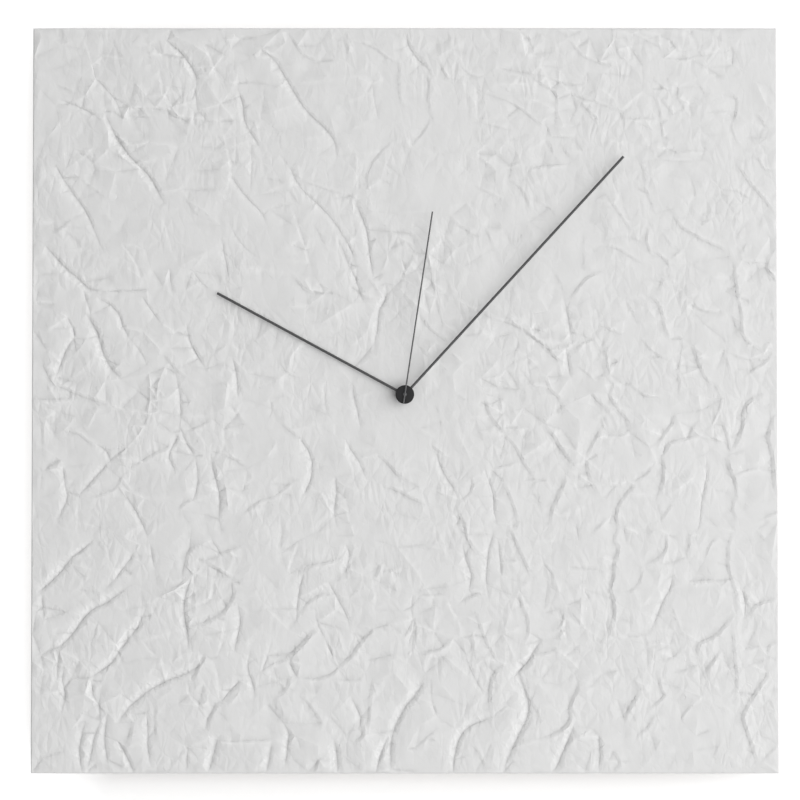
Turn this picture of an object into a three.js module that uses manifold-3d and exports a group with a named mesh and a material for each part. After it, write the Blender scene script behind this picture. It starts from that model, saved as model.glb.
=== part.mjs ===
// A square wall clock with a crumpled paper face, built in millimetres.
// +Z is up and the clock faces -Y. The wall is the plane y = 0, and the origin is the point
// where the hanger plate rests on the wall screw. A turn about +Y is clockwise as seen in front.

import * as THREE from 'three';
import { mergeVertices } from 'three/addons/utils/BufferGeometryUtils.js';
import Module from 'manifold-3d';

const wasm = await Module();
wasm.setup();

// Clearances
const seatGap = 0.3;
const pressGap = 0.1;
const runGap = 0.1;
const pipeGap = 0.3;
const cutOverrun = 1;
const weldDistance = 0.0001;

// Face: a crumpled sheet wrapped over a board
const faceSide = 400;
const boardThickness = 10;
const skinThickness = 1;
const reliefHeight = 2;
const turnIn = 15;
const edgeRoll = 3;
const axisAboveCentre = 2.4;
const creaseDepth = 1;
const facetHeight = 0.5;

// Frame behind the board
const battenWidth = 24;
const battenDepth = 20;
const battenInset = 28;
const bumperRadius = 5;
const bumperThickness = 2;
const frameScrewShank = 1.75;
const frameScrewHead = 3.6;
const frameScrewHeadDepth = 2;
const frameScrewBite = 8;
const frameScrewOffset = 110;
const sideScrewShare = 0.8;

// Hanger plate with a keyhole slot
const hangerWidth = 44;
const hangerHeight = 20;
const hangerThickness = 1.4;
const keyholeRadius = 4.5;
const keySlotRadius = 2.2;
const keyholeTravel = 7;
const pocketWidth = 13;
const pocketHeight = 17;
const pocketDepth = 8;
const hangerScrewShank = 1.2;
const hangerScrewHead = 2.4;
const hangerScrewHeadDepth = 1.1;
const hangerScrewLength = 10;

// Shape of a screw's tip and recess, as shares of its shank and head
const screwTipShare = 0.4;
const screwArmShare = 0.62;
const screwSlotShare = 0.13;
const screwRecessShare = 0.6;
const screwCrownShare = 0.8;

// Hands, in rest position as turns from twelve o'clock
const rodRadius = 0.7;
const secondRodRadius = 0.4;
const hourHandLength = 114.4;
const minuteHandLength = 173.4;
const secondHandLength = 98.9;
const secondTailLength = 5;
const hourHandTurn = THREE.MathUtils.degToRad(-61.53);
const minuteHandTurn = THREE.MathUtils.degToRad(42.54);
const secondHandTurn = THREE.MathUtils.degToRad(8.6);
const handClearance = 0.8;
const handSpacing = 2.4;
const colletThickness = 1.8;
const colletWall = 1.5;
const hubCapRadius = 5;
const hubCapThickness = 1.8;
const hubCapEdge = 0.25;
const hubCapGap = 0.4;
const secondBossWall = 0.4;
const secondBossLength = 1.2;

// Movement case
const caseWall = 1.2;
const caseCorner = 3;
const caseAboveAxis = 29;
const batteryRadius = 7.25;
const batteryLength = 50.5;
const batteryNubRadius = 2.7;
const batteryNubLength = 1;
const bayGap = 0.35;
const contactThickness = 0.4;
const contactGap = 0.2;
const leafReach = 3.5;
const contactDepth = 2.6;
const contactSpanShare = 0.7;
const leafSpanShare = 0.8;
const snoutWall = 0.9;
const snoutGap = 0.6;
const snoutSetback = 0.2;
const lugReach = 9;
const lugHeight = 10;
const lugThickness = 2;
const lugScrewShank = 1.3;
const lugScrewHead = 2.8;
const lugScrewHeadThickness = 1.6;
const lugScrewBite = 7;
const coverSkirtDepth = 2;
const coverSkirtWall = 1;

// Wheel train
const wheelThickness = 1.1;
const layerGap = 0.5;
const arborRadius = 0.5;
const pivotDepth = 0.6;
const minutePipeWall = 0.85;
const hourPipeWall = 0.6;
const knobShaftRadius = 1.3;
const knobHeadRadius = 4.5;
const knobHeadThickness = 3;
const knobFlutes = 20;
const studRadius = 1;
const plateThickness = 1;
const postRadius = 1.5;
const postInset = 3.3;
const postPinRadius = 0.7;
const magnetRadius = 3.5;

// Gear modules and tooth counts
const fastModule = 0.45;
const centreModule = 0.425;
const minuteWorkModule = 0.5;
const hourModule = 0.4;
const fineTeeth = 6;
const fifthTeeth = 30;
const secondTeeth = 36;
const thirdTeeth = 45;
const centreTeeth = 48;
const motionTeeth = 10;
const minuteWorkTeeth = 30;
const hourTeeth = 40;

// Shape of one tooth, as shares of the module and of the pitch angle
const addendumShare = 0.8;
const dedendumShare = 1.15;
const tipHalfShare = 0.09;
const rootHalfShare = 0.24;

// Directions of the arbors round the centre, anticlockwise from +x as seen in front
const thirdDirection = THREE.MathUtils.degToRad(165);
const fifthDirection = THREE.MathUtils.degToRad(40);
const rotorDirection = THREE.MathUtils.degToRad(70);
const minuteWorkDirection = THREE.MathUtils.degToRad(-10);
const knobDirection = THREE.MathUtils.degToRad(-25);

// Motor coil, stator and circuit board
const coilFromTop = 5.3;
const coilOverPlate = 2;
const coilLength = 16;
const coilFlangeRadius = 3;
const coilFlangeThickness = 0.8;
const coilWireRadius = 2.7;
const coilTubeRadius = 2.2;
const coreWidth = 3;
const coreThickness = 1;
const coreCentre = 2;
const coreHalfLength = 15;
const statorRingWall = 1.2;
const statorAirGap = 0.5;
const statorNotch = 0.6;
const circuitWidth = 7.6;
const circuitHeight = 16.5;
const circuitThickness = 1;
const circuitBottom = -0.5;
const chipSide = 4.5;
const chipThickness = 1;
const crystalRadius = 1;
const crystalLength = 6;

// Steps round a circle
const coarseSteps = 10;
const middleSteps = 16;
const fineSteps = 24;
const cornerSteps = 3;
const sheetCells = 44;

// Depths, from the wall forward
const battenBack = -(bumperThickness + seatGap);
const battenFront = battenBack - battenDepth;
const boardBack = battenFront - seatGap;
const boardFront = boardBack - boardThickness;
const skinBack = boardFront - seatGap;
const skinFront = skinBack - skinThickness;
const boardSide = faceSide - 2 * (skinThickness + seatGap);

// Depths of the movement, from its front wall backward
const caseFront = boardBack + seatGap;
const caseFloor = caseFront + caseWall;
const layerPitch = wheelThickness + layerGap;
const hourLayer = caseFloor + layerGap;
const minuteWorkLayer = hourLayer + layerPitch;
const centreLayer = minuteWorkLayer + layerPitch;
const thirdLayer = centreLayer + layerPitch;
const plateFront = thirdLayer + layerPitch;
const plateBack = plateFront + plateThickness;
const secondLayer = plateBack + layerGap;
const fifthLayer = secondLayer + layerPitch;
const batteryDepth = caseFloor + seatGap + batteryRadius;
const caseBack = batteryDepth + batteryRadius;
const coverFront = caseBack - caseWall;
const statorFront = secondLayer;
const statorBack = statorFront + coreThickness;
const coreFront = statorBack + seatGap;
const coilDepth = coreFront + coreThickness / 2;
const contactFront = plateBack + seatGap;
const circuitFront = contactFront + contactThickness + seatGap;
const circuitBack = circuitFront + circuitThickness;

// Radii of the nested pipes, from the second arbor outward
const minuteBore = arborRadius + pipeGap;
const minutePipe = minuteBore + minutePipeWall;
const hourBore = minutePipe + pipeGap;
const hourPipe = hourBore + hourPipeWall;
const snoutBore = hourPipe + pipeGap;
const snoutRadius = snoutBore + snoutWall;
const boardHole = snoutRadius + snoutGap;

// Depths of the hands
const hourRodDepth = skinFront - reliefHeight - handClearance - rodRadius;
const minuteRodDepth = hourRodDepth - handSpacing;
const hourPipeFront = hourRodDepth - colletThickness / 2 - pressGap;
const hubCapBack = minuteRodDepth - colletThickness / 2 - hubCapGap;
const hubCapFront = hubCapBack - hubCapThickness;
const minutePipeFront = hubCapBack - hubCapThickness / 2;
const secondBossBack = hubCapFront - seatGap;
const secondBossFront = secondBossBack - secondBossLength;
const secondRodDepth = secondBossFront + secondRodRadius / 2;
const secondArborFront = secondRodDepth + secondRodRadius + pipeGap;

// Plan of the movement: x to the right and z up, from the hands' axis
const caseHalfWidth = (batteryLength + leafReach + 2 * contactThickness + 4 * contactGap) / 2 + caseWall;
const innerHalfWidth = caseHalfWidth - caseWall;
const innerTop = caseAboveAxis - caseWall;
const bayHeight = 2 * (batteryRadius + bayGap);
const dividerTop = innerTop - (2 * innerHalfWidth - bayHeight - caseWall);
const bayTop = dividerTop - caseWall;
const bayBottom = bayTop - bayHeight;
const caseBottom = bayBottom - caseWall;
const batteryHeight = (bayTop + bayBottom) / 2;
const batteryRight = innerHalfWidth - contactThickness - 2 * contactGap;
const coilHeight = innerTop - coilFromTop;
const plateTop = coilHeight - coilFlangeRadius - coilOverPlate;
const plateBottom = dividerTop + caseWall;
const plateHalfWidth = innerHalfWidth - 2 * seatGap;
const circuitRight = innerHalfWidth - contactThickness - 2 * contactGap - seatGap;
const circuitLeft = circuitRight - circuitWidth;

const pitchRadius = (teeth, gearModule) => teeth * gearModule / 2;
const gearDistance = (teeth, otherTeeth, gearModule) => (teeth + otherTeeth) * gearModule / 2;

function stepFrom(start, direction, distance) {
  const x = start.x + distance * Math.cos(direction);
  const z = start.z + distance * Math.sin(direction);
  return { x, z };
}

const centre = { x: 0, z: 0 };
const thirdPlace = stepFrom(centre, thirdDirection, gearDistance(fineTeeth, centreTeeth, centreModule));
const fifthPlace = stepFrom(centre, fifthDirection, gearDistance(fineTeeth, secondTeeth, fastModule));
const rotorPlace = stepFrom(fifthPlace, rotorDirection, gearDistance(fineTeeth, fifthTeeth, fastModule));
const minuteWorkDistance = gearDistance(motionTeeth, minuteWorkTeeth, minuteWorkModule);
const minuteWorkPlace = stepFrom(centre, minuteWorkDirection, minuteWorkDistance);
const knobPlace = stepFrom(minuteWorkPlace, knobDirection, minuteWorkDistance);

// The hook's height over the face centre is the middle of the slot's upper end
const hangerHeightOverCentre = faceSide / 2 - battenInset - battenWidth / 2;
const keyholeHeight = hangerHeightOverCentre - keyholeTravel / 2;
const hookHeight = keyholeHeight + keyholeTravel;

// Solids and geometries

function solidOf(geometry) {
  const bare = geometry.clone();
  bare.deleteAttribute('normal');
  bare.deleteAttribute('uv');
  const merged = mergeVertices(bare, weldDistance);
  const corners = merged.index.array;
  const kept = [];
  for (let i = 0; i < corners.length; i += 3) {
    const [a, b, c] = [corners[i], corners[i + 1], corners[i + 2]];
    if (a !== b && b !== c && c !== a) kept.push(a, b, c);
  }
  const mesh = new wasm.Mesh({
    numProp: 3,
    vertProperties: Float32Array.from(merged.attributes.position.array),
    triVerts: Uint32Array.from(kept),
  });
  return new wasm.Manifold(mesh);
}

function geometryOf(solid) {
  const mesh = solid.getMesh();
  const geometry = new THREE.BufferGeometry();
  geometry.setAttribute('position', new THREE.BufferAttribute(mesh.vertProperties, 3));
  geometry.setIndex(new THREE.BufferAttribute(mesh.triVerts, 1));
  geometry.computeVertexNormals();
  return geometry;
}

const joined = solids => solids.reduce((whole, solid) => whole.add(solid));
const cut = (solid, cutters) => cutters.reduce((whole, cutter) => whole.subtract(cutter), solid);

function rectangle(left, right, bottom, top, corner = 0) {
  const shape = new THREE.Shape();
  if (corner === 0) {
    return [[left, bottom], [right, bottom], [right, top], [left, top]].map(p => new THREE.Vector2(...p));
  }
  shape.absarc(right - corner, bottom + corner, corner, -Math.PI / 2, 0);
  shape.absarc(right - corner, top - corner, corner, 0, Math.PI / 2);
  shape.absarc(left + corner, top - corner, corner, Math.PI / 2, Math.PI);
  shape.absarc(left + corner, bottom + corner, corner, Math.PI, Math.PI * 1.5);
  return shape.getPoints(cornerSteps);
}

// A plate whose outline is drawn in x and z, between two depths
function slab(outline, front, back, holes = []) {
  const shape = new THREE.Shape(outline);
  shape.holes = holes.map(hole => new THREE.Path(hole));
  const geometry = new THREE.ExtrudeGeometry(shape, { depth: back - front, bevelEnabled: false });
  geometry.rotateX(Math.PI / 2);
  geometry.translate(0, back, 0);
  return solidOf(geometry);
}

// A box between two corners
function block(left, right, front, back, bottom, top) {
  const geometry = new THREE.BoxGeometry(right - left, back - front, top - bottom);
  geometry.translate((left + right) / 2, (front + back) / 2, (bottom + top) / 2);
  return solidOf(geometry);
}

// A body turned about the y axis through a place, from pairs of radius and depth.
// The profile runs from the front to the back, and closes on the axis or on itself.
function turned(profile, steps, place = centre) {
  const points = profile.map(([radius, depth]) => new THREE.Vector2(radius, depth));
  const geometry = new THREE.LatheGeometry(points, steps);
  geometry.translate(place.x, 0, place.z);
  return solidOf(geometry);
}

function cylinder(radius, front, back, steps, place = centre) {
  return turned([[0, front], [radius, front], [radius, back], [0, back]], steps, place);
}

function pipe(bore, radius, front, back, steps, place = centre) {
  return turned([[bore, front], [radius, front], [radius, back], [bore, back], [bore, front]], steps, place);
}

// A round rod along z at one depth
function rod(radius, bottom, top, depth) {
  const geometry = new THREE.CylinderGeometry(radius, radius, top - bottom, coarseSteps);
  geometry.rotateX(Math.PI / 2);
  geometry.translate(0, depth, (bottom + top) / 2);
  return solidOf(geometry);
}

// Turns a body made about the y axis so that its axis runs along x
function laidAlongX(profile, steps, depth, height) {
  const points = profile.map(([radius, along]) => new THREE.Vector2(radius, along));
  const geometry = new THREE.LatheGeometry(points, steps);
  geometry.rotateZ(-Math.PI / 2);
  geometry.translate(0, depth, height);
  return solidOf(geometry);
}

// Straight-sided teeth, four points to a tooth, the first tooth centred on the phase angle
function toothedOutline(teeth, gearModule, phase) {
  const pitch = (2 * Math.PI) / teeth;
  const tip = pitchRadius(teeth, gearModule) + addendumShare * gearModule;
  const root = pitchRadius(teeth, gearModule) - dedendumShare * gearModule;
  const corners = [[root, -rootHalfShare], [tip, -tipHalfShare], [tip, tipHalfShare], [root, rootHalfShare]];
  const outline = [];
  for (let tooth = 0; tooth < teeth; tooth += 1) {
    for (const [radius, share] of corners) {
      const angle = phase + (tooth + share) * pitch;
      outline.push(new THREE.Vector2(radius * Math.cos(angle), radius * Math.sin(angle)));
    }
  }
  return outline;
}

const gear = (teeth, gearModule, phase, layer) =>
  slab(toothedOutline(teeth, gearModule, phase), layer, layer + wheelThickness);

// The phase that brings the gaps of one gear to the teeth of another, along a direction
function meshedPhase(otherTeeth, otherPhase, direction, teeth) {
  const turnsIntoOther = ((direction - otherPhase) * otherTeeth) / (2 * Math.PI);
  return direction + Math.PI - ((2 * Math.PI) / teeth) * (0.5 - turnsIntoOther);
}

const fifthPinionPhase = meshedPhase(secondTeeth, 0, fifthDirection, fineTeeth);
const rotorPinionPhase = meshedPhase(fifthTeeth, 0, rotorDirection, fineTeeth);
const thirdWheelPhase = meshedPhase(fineTeeth, 0, thirdDirection, thirdTeeth);
const thirdPinionPhase = meshedPhase(centreTeeth, 0, thirdDirection, fineTeeth);
const minuteWorkPhase = meshedPhase(motionTeeth, 0, minuteWorkDirection, minuteWorkTeeth);
const minutePinionPhase = meshedPhase(hourTeeth, 0, minuteWorkDirection, motionTeeth);
const knobPinionPhase = meshedPhase(minuteWorkTeeth, minuteWorkPhase, knobDirection, motionTeeth);

// Finishes

const finish = (color, roughness, metalness = 0) => ({ color, roughness, metalness });
const paper = finish(0xe4e4e2, 0.62);
const fibreboard = finish(0x9c7a55, 0.85);
const pine = finish(0xcfae7c, 0.7);
const zinc = finish(0xb9bcc0, 0.35, 0.9);
const rubber = finish(0x2b2b2b, 0.95);
const handPaint = finish(0x3a3a3b, 0.45, 0.3);
const blackPlastic = finish(0x161617, 0.5);
const whitePlastic = finish(0xe9e9e4, 0.4);
const steel = finish(0xa9abad, 0.3, 1);
const brass = finish(0xc9a552, 0.3, 1);
const copper = finish(0xb06a3b, 0.35, 1);
const magnetGrey = finish(0x4b4c50, 0.4, 0.6);
const circuitGreen = finish(0x1f5a3a, 0.5);
const batterySleeve = finish(0x3f6f8f, 0.35, 0.2);

const clock = new THREE.Group();
const face = new THREE.Group();
face.position.z = -hookHeight;
const movement = new THREE.Group();
movement.position.z = axisAboveCentre;
face.add(movement);
clock.add(face);

function add(parent, name, solid, look, place = centre) {
  const mesh = new THREE.Mesh(geometryOf(solid), new THREE.MeshStandardMaterial(look));
  mesh.name = name;
  mesh.position.set(place.x, 0, place.z);
  parent.add(mesh);
  return mesh;
}

// Crumpled sheet

// The main creases. Each row holds the depth and the reach to each side, and then the points of the
// crease line as x and z from the face centre, all but the depth as shares of the half side.
// A positive depth is a valley and a negative one a ridge.
const creaseShares = [
  [1.0, 0.09, -0.80, 0.77, -0.74, 0.66, -0.65, 0.53],
  [0.8, 0.07, -0.94, 0.63, -0.86, 0.50, -0.81, 0.41],
  [0.9, 0.08, -0.96, 0.41, -0.87, 0.32, -0.83, 0.29, -0.70, 0.29],
  [0.8, 0.08, -0.64, 0.97, -0.56, 0.86, -0.57, 0.80],
  [0.7, 0.08, -0.45, 0.85, -0.43, 0.74, -0.38, 0.66],
  [0.8, 0.09, -0.38, 0.94, -0.28, 0.80, -0.19, 0.69, -0.18, 0.65],
  [-0.7, 0.12, -0.34, 0.66, -0.23, 0.52, -0.13, 0.36],
  [0.7, 0.07, -0.14, 0.55, -0.10, 0.45, -0.08, 0.32],
  [0.6, 0.08, 0.00, 0.97, 0.07, 0.88, 0.06, 0.82, 0.08, 0.76, 0.01, 0.67],
  [-0.5, 0.08, -0.60, 0.74, -0.50, 0.76],
  [0.5, 0.07, 0.28, 0.80, 0.36, 0.74],
  [-0.6, 0.10, 0.34, 0.88, 0.41, 0.80, 0.40, 0.70],
  [0.6, 0.07, 0.44, 0.96, 0.51, 0.90],
  [-0.5, 0.08, 0.66, 0.83, 0.70, 0.68],
  [0.7, 0.08, 0.89, 0.65, 0.96, 0.54, 0.98, 0.50],
  [0.7, 0.08, 0.72, 0.51, 0.80, 0.43, 0.87, 0.38],
  [-0.5, 0.09, 0.54, 0.55, 0.61, 0.44],
  [1.0, 0.10, -0.85, 0.23, -0.82, 0.15, -0.76, 0.06],
  [0.9, 0.08, -0.92, 0.04, -0.81, -0.01],
  [0.8, 0.06, -0.88, 0.17, -0.93, 0.06],
  [0.9, 0.08, -0.73, -0.10, -0.79, -0.18, -0.87, -0.26],
  [-0.8, 0.09, -0.62, 0.07, -0.60, -0.04, -0.61, -0.10, -0.67, -0.14, -0.73, -0.19],
  [0.8, 0.06, -0.92, -0.18, -0.91, -0.27, -0.93, -0.34],
  [0.6, 0.07, -0.52, -0.14, -0.50, -0.27, -0.50, -0.32],
  [0.6, 0.06, -0.46, 0.11, -0.45, 0.01],
  [0.7, 0.07, -0.14, 0.04, -0.12, -0.07],
  [0.8, 0.07, -0.28, -0.11, -0.25, -0.17, -0.27, -0.26],
  [0.5, 0.07, -0.06, -0.23, 0.06, -0.28],
  [0.7, 0.08, 0.09, -0.15, 0.14, -0.26],
  [0.6, 0.06, 0.22, 0.02, 0.22, -0.05, 0.26, -0.09],
  [0.8, 0.07, 0.27, -0.10, 0.31, -0.15, 0.35, -0.21],
  [0.5, 0.08, 0.23, 0.22, 0.34, 0.18, 0.41, 0.12],
  [0.6, 0.06, 0.43, 0.13, 0.44, 0.06],
  [0.8, 0.09, 0.37, -0.07, 0.45, -0.18],
  [0.8, 0.08, 0.43, -0.20, 0.40, -0.29, 0.39, -0.34],
  [0.6, 0.07, 0.54, 0.07, 0.55, 0.01, 0.60, -0.09],
  [-0.7, 0.10, 0.54, -0.04, 0.49, -0.15, 0.52, -0.26],
  [0.7, 0.07, 0.65, 0.28, 0.71, 0.16],
  [0.6, 0.06, 0.53, 0.34, 0.45, 0.27],
  [0.7, 0.06, 0.73, -0.04, 0.69, -0.13, 0.69, -0.23],
  [0.6, 0.07, 0.62, -0.23, 0.57, -0.30],
  [0.8, 0.07, 0.89, 0.34, 0.90, 0.18, 0.96, 0.13],
  [0.9, 0.06, 0.97, 0.02, 0.91, 0.00, 0.87, -0.15, 0.89, -0.25],
  [0.8, 0.05, 0.97, -0.07, 0.98, -0.19],
  [1.2, 0.09, -0.98, -0.52, -0.92, -0.46, -0.83, -0.38],
  [1.2, 0.10, -0.98, -0.69, -0.93, -0.66, -0.85, -0.58, -0.73, -0.50],
  [1.2, 0.10, -0.85, -0.75, -0.77, -0.67, -0.70, -0.55, -0.59, -0.49],
  [1.2, 0.10, -0.77, -0.87, -0.71, -0.80, -0.65, -0.76, -0.54, -0.70],
  [0.8, 0.06, -0.72, -0.40, -0.77, -0.47],
  [-1.1, 0.07, -0.57, -0.47, -0.59, -0.55, -0.58, -0.68],
  [1.0, 0.06, -0.55, -0.39, -0.59, -0.46],
  [0.9, 0.07, -0.46, -0.49, -0.47, -0.54, -0.52, -0.60, -0.58, -0.61],
  [1.1, 0.07, -0.49, -0.81, -0.53, -0.88],
  [1.1, 0.07, -0.51, -0.91, -0.53, -0.98],
  [1.0, 0.06, -0.86, -0.86, -0.88, -0.98],
  [1.0, 0.06, -0.77, -0.93, -0.73, -0.98],
  [0.9, 0.06, -0.36, -0.92, -0.37, -0.98],
  [0.9, 0.08, -0.31, -0.69, -0.24, -0.62],
  [1.0, 0.08, -0.17, -0.72, -0.09, -0.61],
  [0.7, 0.07, -0.29, -0.75, -0.17, -0.72],
  [1.0, 0.06, -0.19, -0.91, -0.18, -0.98],
  [1.0, 0.06, -0.04, -0.90, -0.08, -0.98],
  [1.4, 0.11, 0.06, -0.73, 0.00, -0.82, -0.03, -0.89, -0.04, -0.98],
  [0.8, 0.07, 0.16, -0.37, 0.20, -0.43, 0.22, -0.56],
  [1.3, 0.09, 0.28, -0.73, 0.31, -0.77, 0.33, -0.83, 0.29, -0.93, 0.26, -0.98],
  [1.0, 0.08, 0.35, -0.67, 0.29, -0.74],
  [0.9, 0.07, 0.27, -0.71, 0.23, -0.76, 0.23, -0.84, 0.14, -0.91, 0.13, -0.98],
  [0.7, 0.07, 0.30, -0.36, 0.33, -0.44, 0.36, -0.49],
  [0.9, 0.07, 0.56, -0.37, 0.56, -0.54, 0.53, -0.67],
  [0.9, 0.08, 0.72, -0.47, 0.66, -0.61],
  [0.8, 0.08, 0.47, -0.75, 0.44, -0.85, 0.36, -0.91],
  [1.0, 0.07, 0.45, -0.87, 0.39, -0.98],
  [0.9, 0.06, 0.63, -0.78, 0.59, -0.86],
  [0.8, 0.06, 0.88, -0.36, 0.90, -0.53],
  [0.8, 0.07, 0.87, -0.59, 0.80, -0.64],
  [0.8, 0.07, 0.88, -0.60, 0.89, -0.77, 0.89, -0.82],
  [0.9, 0.07, 0.96, -0.70, 0.91, -0.85, 0.94, -0.97],
];
const jitterShare = 0.34;
const snapShare = 0.42;

// A repeatable number between 0 and 1 for a pair of whole numbers
function scatter(column, row, seed) {
  const wave = Math.sin(column * 127.1 + row * 311.7 + seed * 74.7) * 43758.5453;
  return wave - Math.floor(wave);
}

// The straight stretches of all creases, in millimetres
const creases = creaseShares.flatMap(([depthShare, reachShare, ...ends]) => {
  const corners = [];
  for (let i = 0; i < ends.length; i += 2) {
    corners.push(new THREE.Vector2(ends[i], ends[i + 1]).multiplyScalar(faceSide / 2));
  }
  const reach = reachShare * faceSide / 2;
  return corners.slice(1).map((end, i) => ({ start: corners[i], end, depth: depthShare * creaseDepth,
    reach }));
});

function nearestOnCrease(crease, point) {
  const along = crease.end.clone().sub(crease.start);
  const share = point.clone().sub(crease.start).dot(along) / along.lengthSq();
  return crease.start.clone().addScaledVector(along, THREE.MathUtils.clamp(share, 0, 1));
}

// Each crease is a tent, deepest on its line and even with the sheet at its reach.
// Where stretches meet, the deepest of them counts, for valleys and ridges apart.
function creasedHeight(point) {
  let valley = 0;
  let ridge = 0;
  for (const crease of creases) {
    const distance = nearestOnCrease(crease, point).distanceTo(point);
    const depth = crease.depth * Math.max(0, 1 - distance / crease.reach);
    valley = Math.max(valley, depth);
    ridge = Math.min(ridge, depth);
  }
  return -valley - ridge;
}

// Sheet points: a jittered grid whose points slide onto the nearest crease
function sheetPoint(column, row) {
  const inner = faceSide / 2 - edgeRoll;
  const cell = (2 * inner) / (sheetCells - 2);
  const edge = index => index === 0 || index === sheetCells;
  const ringed = index => index === 1 || index === sheetCells - 1;
  const spot = index => {
    if (edge(index)) return Math.sign(index - 1) * faceSide / 2;
    return (index - 1) * cell - inner;
  };
  const point = new THREE.Vector2(spot(column), spot(row));
  const fixedColumn = edge(column) || ringed(column);
  const fixedRow = edge(row) || ringed(row);
  if (!fixedColumn && !fixedRow) {
    point.x += (scatter(column, row, 1) - 0.5) * 2 * jitterShare * cell;
    point.y += (scatter(column, row, 2) - 0.5) * 2 * jitterShare * cell;
    let best = snapShare * cell;
    const free = point.clone();
    for (const crease of creases) {
      const spotOnCrease = nearestOnCrease(crease, free);
      const distance = spotOnCrease.distanceTo(free);
      if (distance < best) {
        best = distance;
        point.copy(spotOnCrease);
      }
    }
  }
  const flat = edge(column) || edge(row);
  const facet = facetHeight * scatter(column, row, 3);
  const raised = THREE.MathUtils.clamp(reliefHeight / 2 + creasedHeight(point) + facet, 0, reliefHeight);
  return new THREE.Vector3(point.x, flat ? skinFront : skinFront - raised, point.y);
}

// The sheet's front, closed to a solid by its border and its flat back
function reliefSolid() {
  const across = sheetCells + 1;
  const points = [];
  for (let row = 0; row < across; row += 1) {
    for (let column = 0; column < across; column += 1) points.push(sheetPoint(column, row));
  }
  const faces = [];
  for (let row = 0; row < sheetCells; row += 1) {
    for (let column = 0; column < sheetCells; column += 1) {
      const a = row * across + column;
      const [b, c, d] = [a + 1, a + across + 1, a + across];
      const falls = Math.abs(points[a].y - points[c].y) > Math.abs(points[b].y - points[d].y);
      faces.push(...(falls ? [a, b, d, b, c, d] : [a, b, c, a, c, d]));
    }
  }
  const border = [];
  for (let i = 0; i < sheetCells; i += 1) border.push(i);
  for (let i = 0; i < sheetCells; i += 1) border.push(i * across + sheetCells);
  for (let i = sheetCells; i > 0; i -= 1) border.push(sheetCells * across + i);
  for (let i = sheetCells; i > 0; i -= 1) border.push(i * across);
  const firstBack = points.length;
  const contour = border.map(index => new THREE.Vector2(points[index].x, points[index].z));
  border.forEach(index => points.push(new THREE.Vector3(points[index].x, skinBack, points[index].z)));
  border.forEach((index, i) => {
    const next = (i + 1) % border.length;
    faces.push(index, firstBack + i, firstBack + next, index, firstBack + next, border[next]);
  });
  for (const [a, b, c] of THREE.ShapeUtils.triangulateShape(contour, [])) {
    faces.push(firstBack + a, firstBack + c, firstBack + b);
  }
  const geometry = new THREE.BufferGeometry().setFromPoints(points);
  geometry.setIndex(faces);
  return solidOf(geometry);
}

const square = side => rectangle(-side / 2, side / 2, -side / 2, side / 2);
const axisOnFace = { x: 0, z: axisAboveCentre };

function faceSkin() {
  const lipFront = boardBack + seatGap;
  const lipBack = lipFront + skinThickness;
  const rim = slab(square(faceSide), skinFront, lipBack, [square(faceSide - 2 * skinThickness)]);
  const lip = slab(square(faceSide), lipFront, lipBack, [square(faceSide - 2 * turnIn)]);
  const hole = cylinder(boardHole, skinFront - reliefHeight - cutOverrun, boardBack, middleSteps, axisOnFace);
  return joined([reliefSolid(), rim, lip]).subtract(hole);
}
add(face, 'face_skin', faceSkin(), paper);

// Frame screws: two to a batten, at even distances from the middle of each side
const battenRadius = hangerHeightOverCentre;
const frameScrewPlaces = [-1, 1].flatMap(side => [-1, 1].flatMap(end => [
  { x: end * frameScrewOffset, z: side * battenRadius },
  { x: side * battenRadius, z: end * frameScrewOffset * sideScrewShare },
]));
const frameScrewLength = battenDepth + seatGap + frameScrewBite;
const frameScrewHole = frameScrewShank + seatGap;

const lugHoleX = caseHalfWidth + lugReach / 2;
const lugHoles = [-1, 1].map(side => ({ x: side * lugHoleX, z: 0 }));
const lugPilots = lugHoles.map(({ x, z }) => ({ x, z: z + axisAboveCentre }));

function dialBoard() {
  const axisHole = cylinder(boardHole, boardFront - cutOverrun, boardBack + cutOverrun, middleSteps,
    axisOnFace);
  const frameHoles = frameScrewPlaces.map(place =>
    cylinder(frameScrewHole, boardBack - frameScrewBite - seatGap, boardBack + cutOverrun, coarseSteps,
      place));
  const pilots = lugPilots.map(place =>
    cylinder(lugScrewShank + seatGap, boardBack - lugScrewBite - seatGap, boardBack + cutOverrun,
      coarseSteps, place));
  return cut(slab(square(boardSide), boardFront, boardBack), [axisHole, ...frameHoles, ...pilots]);
}
add(face, 'dial_board', dialBoard(), fibreboard);

// A countersunk hole for a screw whose head lies flush with a back face
function countersink(headRadius, headDepth, holeRadius, back, front, place) {
  const head = headRadius + seatGap;
  const profile = [[0, front], [holeRadius, front], [holeRadius, back - headDepth - seatGap],
    [head, back], [head, back + cutOverrun], [0, back + cutOverrun]];
  return turned(profile, coarseSteps, place);
}

const battenOuter = battenRadius + battenWidth / 2;
const battenInner = battenRadius - battenWidth / 2;
const screwsIn = (left, right, bottom, top) => frameScrewPlaces
  .filter(({ x, z }) => x > left && x < right && z > bottom && z < top)
  .map(place => countersink(frameScrewHead, frameScrewHeadDepth, frameScrewHole, battenBack,
    battenFront - cutOverrun, place));

function batten(left, right, bottom, top) {
  return cut(block(left, right, battenFront, battenBack, bottom, top), screwsIn(left, right, bottom, top));
}

const hangerScrewX = hangerWidth / 2 - hangerScrewHead * 2;
const hangerScrewPlaces = [-1, 1].map(side => ({ x: side * hangerScrewX, z: hangerHeightOverCentre }));

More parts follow.
